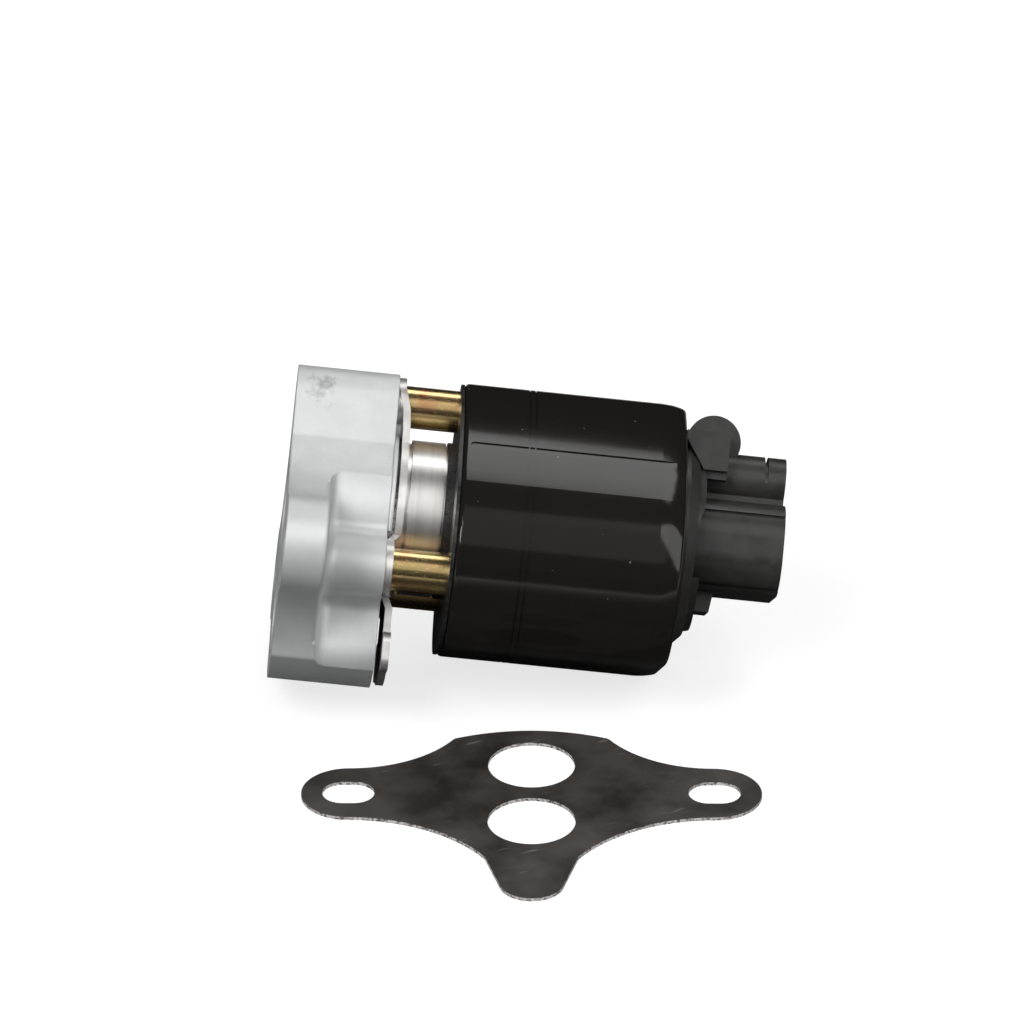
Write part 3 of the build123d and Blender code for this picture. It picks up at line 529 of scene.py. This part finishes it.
def drawn_spring_wire(colours):
    """Spring wire, drawn: dark bright steel with a fine mottle.

    The draw marks are too fine to show, so a mottle 0.3 mm across stands in for them.
    """
    material, tree, shader = start_material("spring_steel_drawn", {"Metallic": 1.0})
    mottle = add_node(
        tree, "ShaderNodeTexNoise", {"Scale": per_metre(0.3), "Detail": 3.0},
        {"Vector": valve_position(tree)},
    )
    vary_colour(tree, shader, mottle.outputs["Fac"], colours.steel_dark, colours.steel)
    vary_roughness(tree, shader, mottle.outputs["Fac"], low=0.24, high=0.38)
    return material


def seal_rubber(colours):
    """Fluorocarbon rubber, moulded: black and matte with a slight bloom."""
    material, tree, shader = start_material("rubber_moulded")
    bloom = add_node(
        tree, "ShaderNodeTexNoise", {"Scale": per_metre(3), "Detail": 4.0},
        {"Vector": valve_position(tree)},
    )
    vary_colour(tree, shader, bloom.outputs["Fac"], colours.rubber, colours.nylon)
    vary_roughness(tree, shader, bloom.outputs["Fac"], low=0.5, high=0.7)
    return material


def graphite_sheet(colours):
    """Graphite on a steel core, cut from sheet: charcoal and scuffed, silvery at the cut edge.

    The patterns follow the frame's axes, in which the loose gasket lies flat.
    """
    material, tree, shader = start_material(
        "graphite_sheet_steel_core", {"Specular IOR Level": 0.6}
    )
    place = add_node(tree, "ShaderNodeTexCoord")
    cloud = add_node(
        tree, "ShaderNodeTexNoise", {"Scale": per_metre(14), "Detail": 6.0, "Roughness": 0.6},
        {"Vector": place.outputs["Object"]},
    )
    grain = add_node(
        tree, "ShaderNodeTexNoise", {"Scale": per_metre(0.7), "Detail": 4.0},
        {"Vector": place.outputs["Object"]},
    )
    plain_face = two_tone(tree, cloud.outputs["Fac"], colours.graphite_dark, colours.graphite)
    # Scratches 1.1 mm wide and 7 mm long, all lying one way, where the noise peaks.
    turned = add_node(
        tree, "ShaderNodeMapping", {"Rotation": (0, 0, radians(-25))},
        {"Vector": place.outputs["Object"]},
    )
    drawn_out = add_node(
        tree, "ShaderNodeMapping", {"Scale": (0.15, 1, 1)}, {"Vector": turned.outputs["Vector"]}
    )
    strands = add_node(
        tree, "ShaderNodeTexNoise", {"Scale": per_metre(1.1), "Detail": 2.0},
        {"Vector": drawn_out.outputs["Vector"]},
    )
    scratch = add_node(
        tree, "ShaderNodeMapRange", {"From Min": 0.68, "From Max": 0.78, "To Max": 0.5},
        {"Value": strands.outputs["Fac"]},
    )
    scratched = add_node(
        tree, "ShaderNodeMix", {"data_type": "RGBA", "B": colours.graphite_scratch},
        {"Factor": scratch.outputs["Result"], "A": plain_face},
    )
    fleck = add_node(
        tree, "ShaderNodeTexNoise", {"Scale": per_metre(0.8), "Detail": 5.0, "Roughness": 0.8},
        {"Vector": place.outputs["Object"]},
    )
    core = two_tone(
        tree, fleck.outputs["Fac"], colours.graphite_dark, colours.cut_edge, start=0.4, end=0.55
    )
    # What leans more than about 45 degrees from flat is the cut edge.
    normal_parts = add_node(
        tree, "ShaderNodeSeparateXYZ", links={"Vector": place.outputs["Normal"]}
    )
    flat = add_node(
        tree, "ShaderNodeMath", {"operation": "ABSOLUTE"}, {0: normal_parts.outputs["Z"]}
    )
    on_face = add_node(
        tree, "ShaderNodeMapRange", {"From Min": 0.6, "From Max": 0.8}, {"Value": flat.outputs[0]}
    )
    both = add_node(
        tree, "ShaderNodeMix", {"data_type": "RGBA"},
        {"Factor": on_face.outputs["Result"], "A": core, "B": scratched.outputs["Result"]},
    )
    tree.links.new(both.outputs["Result"], shader.inputs["Base Color"])
    vary_roughness(tree, shader, cloud.outputs["Fac"], low=0.34, high=0.55)
    grained = raise_surface(tree, shader, grain.outputs["Fac"], height_mm=0.03, strength=0.5)
    raise_surface(
        tree, shader, cloud.outputs["Fac"], height_mm=0.1, strength=0.3, below=grained
    )
    return material


# ---------------------------------------------------------------- what a user would change


def colour_property(name, hex_code, description):
    """A colour setting whose default is an sRGB hex value."""
    return FloatVectorProperty(
        name=name, description=description, default=linear(hex_code), size=4, subtype="COLOR",
        min=0.0, max=1.0,
    )


class FinishColours(bpy.types.PropertyGroup):
    """Colours of the valve's finishes."""

    aluminium: colour_property("Aluminium", "dcdddd", "Blasted casting where it is clean")
    aluminium_dull: colour_property("Dull aluminium", "d5d7d7", "Blasted casting where it is dull")
    aluminium_stain: colour_property("Aluminium stain", "77797b", "Stain left by the die release")
    stainless: colour_property("Stainless", "e6e4e1", "Bright stainless sheet and tube")
    stainless_dull: colour_property("Dull stainless", "d3d1ce", "Stainless along its rolling lines")
    steel: colour_property("Steel", "a9aaac", "Bare turned steel")
    steel_dark: colour_property("Dark steel", "7d7e80", "Bare steel in its tool marks")
    # Painted shade: the pole plate's dark grey stands in for the shade between the guide tube and
    # the can.
    pole_plate_painted_shade: colour_property("Black zinc", "2c2c2d", "Blackened plating of the pole plate")
    phosphate: colour_property("Phosphate", "4a4a4a", "Phosphate film on steel")
    phosphate_dark: colour_property("Dark phosphate", "303030", "Phosphate film between crystals")
    chromate_gold: colour_property("Chromate gold", "d9ba84", "Chromate film over most of a spacer")
    chromate_rose: colour_property("Chromate rose", "d59f74", "Chromate where it is thick")
    chromate_green: colour_property("Chromate green", "cfbb7e", "Chromate where it is thin")
    enamel: colour_property("Enamel", "1c1a18", "Black enamel of the can")
    dust: colour_property("Dust", "6c6a66", "Dust settled on the can")
    nylon: colour_property("Black nylon", "302f2e", "Moulded cap")
    nylon_dark: colour_property("Dark nylon", "292827", "Moulded cap along its flow marks")
    ivory: colour_property("Natural nylon", "d9d0bb", "Uncoloured moulded parts")
    ivory_dark: colour_property("Dark natural", "bdb39b", "Uncoloured parts in their flow marks")
    bronze: colour_property("Bronze", "b48a52", "Sintered bushing")
    bronze_dark: colour_property("Dark bronze", "5c4426", "Pores of the bushing")
    copper: colour_property("Copper", "c8703a", "Enamelled winding wire")
    copper_dark: colour_property("Dark copper", "6b3418", "Between the turns of the winding")
    tin: colour_property("Tin", "d5d5d2", "Tin-plated blades")
    rubber: colour_property("Rubber", "1a1a1a", "Moulded seal")
    graphite: colour_property("Graphite", "484441", "Gasket face")
    graphite_dark: colour_property("Dark graphite", "2b2826", "Gasket face where it is darker")
    graphite_scratch: colour_property("Graphite scratch", "8a8580", "Gasket face where scuffed")
    cut_edge: colour_property("Cut edge", "e2dedb", "Bare steel core at the gasket's cut edge")
    floor: colour_property("Floor", "a6a6a6", "Studio floor")
    # Painted shade on the floor near the valve, seen only in reflections.
    floor_painted_shade: colour_property("Floor shade", "3c3c3c", "Floor near the valve in reflections")


class RimSizes(bpy.types.PropertyGroup):
    """Sizes of the cast rim, in the valve's own axes."""

    base_top: FloatProperty(
        name="Base top", description="Height of the base casting's flat top", default=24.0 * MM,
        unit="LENGTH",
    )
    height: FloatProperty(
        name="Height", description="How far the rim stands up", default=1.0 * MM, unit="LENGTH"
    )
    outer_radius: FloatProperty(
        name="Outer radius", description="Just inside the face of the valve chamber's wall",
        default=19.15 * MM, unit="LENGTH",
    )
    inner_radius: FloatProperty(
        name="Inner radius", description="Just outside the seal", default=17.25 * MM, unit="LENGTH"
    )
    open_below_y: FloatProperty(
        name="Open below", description="The rim ends here, where the plate comes down to the base",
        default=-5.5 * MM, unit="LENGTH",
    )
    pad_half_width: FloatProperty(
        name="Pad half width", description="Of the pad under the plate at the lobe",
        default=4.0 * MM, unit="LENGTH",
    )
    pad_start_y: FloatProperty(
        name="Pad start", description="The pad starts within the rim's wall", default=17.85 * MM,
        unit="LENGTH",
    )
    pad_end_y: FloatProperty(
        name="Pad end", description="The pad runs just into the plate's seat at the lobe's screw",
        default=21.3 * MM, unit="LENGTH",
    )
    pad_height: FloatProperty(
        name="Pad height", description="Almost up to the plate above it", default=1.6 * MM,
        unit="LENGTH",
    )
    edge_radius: FloatProperty(
        name="Edge", description="Rounding of the cast edges", default=0.15 * MM, unit="LENGTH"
    )


class StudioSettings(bpy.types.PropertyGroup):
    """Camera and light of the studio."""

    azimuth: FloatProperty(
        name="Azimuth", description="Direction of the camera round the valve",
        default=radians(0.14), subtype="ANGLE",
    )
    elevation: FloatProperty(
        name="Elevation", description="Height of the camera above the horizon",
        default=radians(28.51), subtype="ANGLE",
    )
    distance: FloatProperty(
        name="Distance", description="From the camera to the point it looks at", default=1.5,
        unit="LENGTH",
    )
    focal_px: FloatProperty(
        name="Focal length", description="Focal length in image pixels", default=6387.0
    )
    aim_x: FloatProperty(
        name="Aim X", description="Point looked at, along the bench", default=0.0529, unit="LENGTH"
    )
    aim_z: FloatProperty(
        name="Aim Z", description="Height of the point looked at", default=-0.00127, unit="LENGTH"
    )
    behind_radiance: FloatProperty(
        name="Softbox behind", description="Brightness of the softbox above and behind", default=3.3
    )
    left_radiance: FloatProperty(
        name="Softbox left", description="Brightness of the softbox in front on the left",
        default=11.0,
    )
    right_radiance: FloatProperty(
        name="Softbox right", description="Brightness of the softbox in front on the right",
        default=2.3,
    )
    front_radiance: FloatProperty(
        name="Softbox front", description="Brightness of the weak softbox in front", default=0.5
    )
    ambient: FloatProperty(
        name="Ambient", description="Brightness of the room on matte surfaces", default=0.15
    )


class ValveOperator:
    """What the operators share"""

    bl_options = {"REGISTER", "UNDO"}

    def finish(self, context, choices):
        """Paints nodes with (material function, node names) pairs."""
        colours = context.scene.egr_colours
        for make, names in choices:
            missing = [name for name in names if name not in frame["nodes"]]
            if missing:
                raise RuntimeError(f"no node named {missing}")
            paint(names, make(colours))
        return {"FINISHED"}


class EGR_OT_base(ValveOperator, bpy.types.Operator):
    """Finish the base casting, the seal under the plate and the seal under the cap"""

    bl_idname = "egr.base"
    bl_label = "Base Casting"

    def execute(self, context):
        return self.finish(
            context,
            [
                (shot_blasted_aluminium, ["base_casting"]),
                (graphite_sheet, ["base_seal"]),
                (seal_rubber, ["cap_seal"]),
            ],
        )


def add_rim_ring(rim):
    """Adds a thin-walled hoop and cuts it off where the plate comes down to the base."""
    bpy.ops.object.select_all(action="DESELECT")
    bpy.ops.mesh.primitive_cylinder_add(
        vertices=128,
        radius=rim.outer_radius,
        depth=rim.height,
        end_fill_type="NOTHING",
        location=(0, 0, rim.base_top + rim.height / 2),
    )
    bpy.ops.object.transform_apply(location=True, rotation=False, scale=False)
    ring = bpy.context.object
    wall = ring.modifiers.new("wall", "SOLIDIFY")
    wall.thickness = rim.outer_radius - rim.inner_radius
    wall.offset = -1.0
    bpy.ops.object.modifier_apply(modifier=wall.name)
    bpy.ops.object.mode_set(mode="EDIT")
    bpy.ops.mesh.select_all(action="SELECT")
    bpy.ops.mesh.bisect(
        plane_co=(0, rim.open_below_y, 0), plane_no=(0, 1, 0), use_fill=True, clear_inner=True
    )
    weld_all()
    bpy.ops.mesh.normals_make_consistent(inside=False)
    bpy.ops.object.mode_set(mode="OBJECT")
    return ring


def add_rim_pad(rim):
    """Adds the block under the plate at the lobe, from the ring's wall to the screw's seat."""
    middle_y = (rim.pad_start_y + rim.pad_end_y) / 2
    bpy.ops.object.select_all(action="DESELECT")
    bpy.ops.mesh.primitive_cube_add(
        size=1,
        location=(0, middle_y, rim.base_top + rim.pad_height / 2),
        scale=(2 * rim.pad_half_width, rim.pad_end_y - rim.pad_start_y, rim.pad_height),
    )
    bpy.ops.object.transform_apply(location=True, rotation=False, scale=True)


class EGR_OT_rim(ValveOperator, bpy.types.Operator):
    """Model the cast rim under the plate, open at the side screws, and its pad at the lobe"""

    bl_idname = "egr.rim"
    bl_label = "Cast Rim"

    def execute(self, context):
        rim = context.scene.egr_rim
        ring = add_rim_ring(rim)
        add_rim_pad(rim)
        ring.select_set(True)
        context.view_layer.objects.active = ring
        bpy.ops.object.join()
        edge = ring.modifiers.new("edge", "BEVEL")
        edge.width = rim.edge_radius
        edge.segments = 2
        bpy.ops.object.modifier_apply(modifier=edge.name)
        bpy.ops.object.shade_smooth_by_angle(angle=radians(30))
        material = frame["nodes"]["base_casting"].data.materials[0]
        new_piece("cast_rim", "housing", material)
        return {"FINISHED"}


class EGR_OT_stem(ValveOperator, bpy.types.Operator):
    """Finish the pintle, seat, guide, armature and upper pole, the bushing and the wiper"""

    bl_idname = "egr.stem"
    bl_label = "Stem and Guide"

    def execute(self, context):
        return self.finish(
            context,
            [
                (turned_steel, ["pintle", "armature", "valve_seat", "stem_guide", "upper_pole"]),
                (sintered_bronze, ["stem_bushing", "sensor_wiper"]),
            ],
        )


class EGR_OT_springs(ValveOperator, bpy.types.Operator):
    """Lay welded copies of the springs on the housing in place of the rigid ones"""

    bl_idname = "egr.springs"
    bl_label = "Springs"

    def execute(self, context):
        self.finish(context, [(drawn_spring_wire, ["return_spring", "sensor_spring"])])
        joints = frame["record"]["behaviour"]["joints"]
        lift = next(joint for joint in joints if joint["name"] == "stem_lift")
        for spring in lift["deforming_nodes"]:
            rigid = frame["nodes"][spring["node"]]
            bpy.ops.object.select_all(action="DESELECT")
            rigid.select_set(True)
            context.view_layer.objects.active = rigid
            bpy.ops.object.duplicate()
            coil = context.object
            coil.name = spring["node"] + "_coil"
            coil.data.name = coil.name
            bpy.ops.object.mode_set(mode="EDIT")
            weld_all()
            bpy.ops.object.mode_set(mode="OBJECT")
            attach(coil, "housing")
            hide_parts(spring["node"])
            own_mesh(coil)
        return {"FINISHED"}


class EGR_OT_plate(ValveOperator, bpy.types.Operator):
    """Finish the stainless plate, shield, sleeve and guide tube"""

    bl_idname = "egr.plate"
    bl_label = "Plate and Tube"

    def execute(self, context):
        return self.finish(
            context,
            [
                (rolled_stainless, ["heat_shield", "stem_shield"]),
                (drawn_stainless_tube, ["guide_tube", "armature_sleeve"]),
            ],
        )


class EGR_OT_spacers(ValveOperator, bpy.types.Operator):
    """Finish the spacers and the screws inside them"""

    bl_idname = "egr.spacers"
    bl_label = "Spacers and Screws"

    def execute(self, context):
        places = ("lobe", "near", "far")
        return self.finish(
            context,
            [
                (yellow_chromate, ["spacer_" + place for place in places]),
                (phosphated_steel, ["screw_" + place for place in places]),
            ],
        )


class EGR_OT_solenoid(ValveOperator, bpy.types.Operator):
    """Finish the can, the pole pieces, the bobbin and the winding"""

    bl_idname = "egr.solenoid"
    bl_label = "Solenoid"

    def execute(self, context):
        return self.finish(
            context,
            [
                (black_enamel, ["solenoid_can"]),
                (phosphated_steel, ["lower_pole", "flux_plate"]),
                # The pole plate carries painted shade, dark grey for its place between tube and
                # can.
                (zinc_steel_painted_shade, ["pole_plate"]),
                (natural_nylon, ["bobbin"]),
                (enamelled_copper, ["coil_winding"]),
            ],
        )


class EGR_OT_sensor(ValveOperator, bpy.types.Operator):
    """Finish the cap with its connector, the blades and the sensor"""

    bl_idname = "egr.sensor"
    bl_label = "Sensor Cap"

    def execute(self, context):
        return self.finish(
            context,
            [
                (moulded_black_nylon, ["sensor_cap"]),
                (tinned_brass, ["terminals"]),
                (natural_nylon, ["sensor_plunger", "sensor_board"]),
            ],
        )


class EGR_OT_gasket(ValveOperator, bpy.types.Operator):
    """Finish the loose gasket"""

    bl_idname = "egr.gasket"
    bl_label = "Gasket"

    def execute(self, context):
        return self.finish(context, [(graphite_sheet, ["mounting_gasket"])])


# ---------------------------------------------------------------- studio


def studio_world(studio):
    """Room round the valve: white to camera and transmitted rays, dim on matte surfaces.

    Reflections find it white at the horizon, with a dark ceiling above.
    """
    world = bpy.data.worlds.new("studio")
    bpy.context.scene.world = world
    world.use_nodes = True
    tree = world.node_tree
    tree.nodes.clear()
    path = add_node(tree, "ShaderNodeLightPath")
    direction = add_node(tree, "ShaderNodeTexCoord")
    parts = add_node(
        tree, "ShaderNodeSeparateXYZ", links={"Vector": direction.outputs["Generated"]}
    )
    ceiling = add_node(
        tree, "ShaderNodeMapRange",
        {
            "interpolation_type": "SMOOTHSTEP", "From Min": 0.0, "From Max": CEILING_RISE,
            "To Min": 1.0, "To Max": CEILING_LEVEL,
        },
        {"Value": parts.outputs["Z"]},
    )
    seen_through = add_node(
        tree, "ShaderNodeMath", {"operation": "MAXIMUM"},
        {0: path.outputs["Is Camera Ray"], 1: path.outputs["Is Transmission Ray"]},
    )
    for_glossy = add_node(
        tree, "ShaderNodeMix", {"data_type": "FLOAT", "A": studio.ambient},
        {"Factor": path.outputs["Is Glossy Ray"], "B": ceiling.outputs["Result"]},
    )
    strength = add_node(
        tree, "ShaderNodeMix", {"data_type": "FLOAT", "B": 1.0},
        {"Factor": seen_through.outputs[0], "A": for_glossy.outputs["Result"]},
    )
    light = add_node(
        tree, "ShaderNodeBackground", {"Color": (1, 1, 1, 1)},
        {"Strength": strength.outputs["Result"]},
    )
    add_node(tree, "ShaderNodeOutputWorld", links={"Surface": light.outputs["Background"]})


def floor_material(colours):
    """Seamless paper, matte: white to the camera; in reflections white clear of the valve, painted
    shade near it.
    """
    material, tree, shader = start_material(
        "paper_seamless_white",
        {"Roughness": 0.9, "Specular IOR Level": 0.1, "Emission Color": (1, 1, 1, 1)},
    )
    path = add_node(tree, "ShaderNodeLightPath")
    place = add_node(tree, "ShaderNodeTexCoord")
    under_valve = (Vector(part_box("base_casting")[0]) + Vector(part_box("sensor_cap")[1])) / 2
    under_valve.z = BENCH_Z
    distance = add_node(
        tree, "ShaderNodeVectorMath", {"operation": "DISTANCE", 1: under_valve},
        {0: place.outputs["Object"]},
    )
    clear_of_valve = add_node(
        tree, "ShaderNodeMapRange",
        {"interpolation_type": "SMOOTHSTEP", "From Min": SHADE_END, "From Max": WHITE_START},
        {"Value": distance.outputs["Value"]},
    )
    in_gloss = add_node(
        tree, "ShaderNodeMath", {"operation": "MULTIPLY"},
        {0: path.outputs["Is Glossy Ray"], 1: clear_of_valve.outputs["Result"]},
    )
    camera_or_glossy = add_node(
        tree, "ShaderNodeMath", {"operation": "MAXIMUM"},
        {0: path.outputs["Is Camera Ray"], 1: in_gloss.outputs[0]},
    )
    seen = add_node(
        tree, "ShaderNodeMath", {"operation": "MAXIMUM"},
        {0: camera_or_glossy.outputs[0], 1: path.outputs["Is Transmission Ray"]},
    )
    glow = add_node(
        tree, "ShaderNodeMath", {"operation": "MULTIPLY", 1: FLOOR_GLOW}, {0: seen.outputs[0]}
    )
    tree.links.new(glow.outputs[0], shader.inputs["Emission Strength"])
    # Painted shade: near the valve, reflections see the floor in a darker colour and without its
    # glow.
    shade = add_node(
        tree, "ShaderNodeMath", {"operation": "SUBTRACT"},
        {0: path.outputs["Is Glossy Ray"], 1: in_gloss.outputs[0]},
    )
    tint = add_node(
        tree, "ShaderNodeMix", {"data_type": "RGBA", "A": colours.floor, "B": colours.floor_painted_shade},
        {"Factor": shade.outputs[0]},
    )
    tree.links.new(tint.outputs["Result"], shader.inputs["Base Color"])
    return material


def add_softbox(name, place, aim, width, height, shape, radiance):
    """Flat lamp at place, facing aim, with the power for about this radiance over its face."""
    bpy.ops.object.light_add(type="AREA", location=place)
    lamp = bpy.context.object
    lamp.name = name
    lamp.data.shape = shape
    lamp.data.size = width
    lamp.data.size_y = height
    lamp.data.energy = radiance * pi * width * height
    lamp.rotation_euler = (aim - place).to_track_quat("-Z", "Y").to_euler()
    lamp.visible_camera = False


def add_flag(name, y, top, width):
    """Black card standing on the floor that only reflections see, so that gloss stays deep."""
    bpy.ops.object.select_all(action="DESELECT")
    bpy.ops.mesh.primitive_plane_add(
        size=1, location=(FLAG_X, y, (BENCH_Z + top) / 2), rotation=(radians(90), 0, 0)
    )
    card = bpy.context.object
    card.name = name
    card.scale = (width, top - BENCH_Z, 1)
    bpy.ops.object.transform_apply(location=True, rotation=True, scale=True)
    material, _, _ = start_material(
        "card_black", {"Base Color": linear("050505"), "Roughness": 1.0}
    )
    card.data.materials.append(material)
    for ray in ("camera", "diffuse", "transmission", "volume_scatter", "shadow"):
        setattr(card, "visible_" + ray, False)


class EGR_OT_stage(ValveOperator, bpy.types.Operator):
    """Lay the floor, light the valve and place the camera"""

    bl_idname = "egr.stage"
    bl_label = "Studio"

    def execute(self, context):
        scene = context.scene
        studio = scene.egr_studio
        bpy.ops.object.select_all(action="DESELECT")
        bpy.ops.mesh.primitive_plane_add(size=FLOOR_SIDE, location=(0, 0, BENCH_Z))
        floor = context.object
        floor.name = "floor"
        floor.data.materials.append(floor_material(scene.egr_colours))

        aim = Vector((studio.aim_x, 0, studio.aim_z))
        for side, place, width, height, shape in SOFTBOXES:
            radiance = getattr(studio, side + "_radiance")
            add_softbox("softbox_" + side, Vector(place), aim, width, height, shape, radiance)
        for side, y, top, width in FLAGS:
            add_flag("flag_" + side, y, top, width)
        studio_world(studio)

        bpy.ops.object.camera_add()
        camera = context.object
        camera.name = "camera"
        camera.data.sensor_width = SENSOR_MM
        camera.data.lens = studio.focal_px * SENSOR_MM / IMAGE_SIDE_PX
        camera.data.clip_end = CLIP_END
        back = Vector(
            (
                sin(studio.azimuth) * cos(studio.elevation),
                -cos(studio.azimuth) * cos(studio.elevation),
                sin(studio.elevation),
            )
        )
        camera.location = aim + back * studio.distance
        camera.rotation_euler = (-back).to_track_quat("-Z", "Y").to_euler()
        scene.camera = camera
        scene.view_settings.view_transform = "Standard"
        return {"FINISHED"}


class EGR_PT_panel(bpy.types.Panel):
    """Buttons for the valve's finishes and its studio"""

    bl_idname = "EGR_PT_panel"
    bl_label = "EGR Valve"
    bl_space_type = "VIEW_3D"
    bl_region_type = "UI"
    bl_category = "EGR Valve"

    def draw(self, context):
        column = self.layout.column()
        for operator in OPERATORS:
            column.operator(operator.bl_idname)


OPERATORS = (
    EGR_OT_base,
    EGR_OT_rim,
    EGR_OT_stem,
    EGR_OT_springs,
    EGR_OT_plate,
    EGR_OT_spacers,
    EGR_OT_solenoid,
    EGR_OT_sensor,
    EGR_OT_gasket,
    EGR_OT_stage,
)
CLASSES = (FinishColours, RimSizes, StudioSettings, *OPERATORS, EGR_PT_panel)


def register():
    for cls in CLASSES:
        bpy.utils.register_class(cls)
    bpy.types.Scene.egr_colours = PointerProperty(type=FinishColours)
    bpy.types.Scene.egr_rim = PointerProperty(type=RimSizes)
    bpy.types.Scene.egr_studio = PointerProperty(type=StudioSettings)


def unregister():
    del bpy.types.Scene.egr_studio
    del bpy.types.Scene.egr_rim
    del bpy.types.Scene.egr_colours
    for cls in reversed(CLASSES):
        bpy.utils.unregister_class(cls)


def main():
    """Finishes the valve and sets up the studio."""
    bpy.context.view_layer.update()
    register()
    bpy.ops.egr.base()
    bpy.ops.egr.rim()
    bpy.ops.egr.stem()
    bpy.ops.egr.springs()
    bpy.ops.egr.plate()
    bpy.ops.egr.spacers()
    bpy.ops.egr.solenoid()
    bpy.ops.egr.sensor()
    bpy.ops.egr.gasket()
    bpy.ops.egr.stage()


if __name__ == "__main__":
    main()
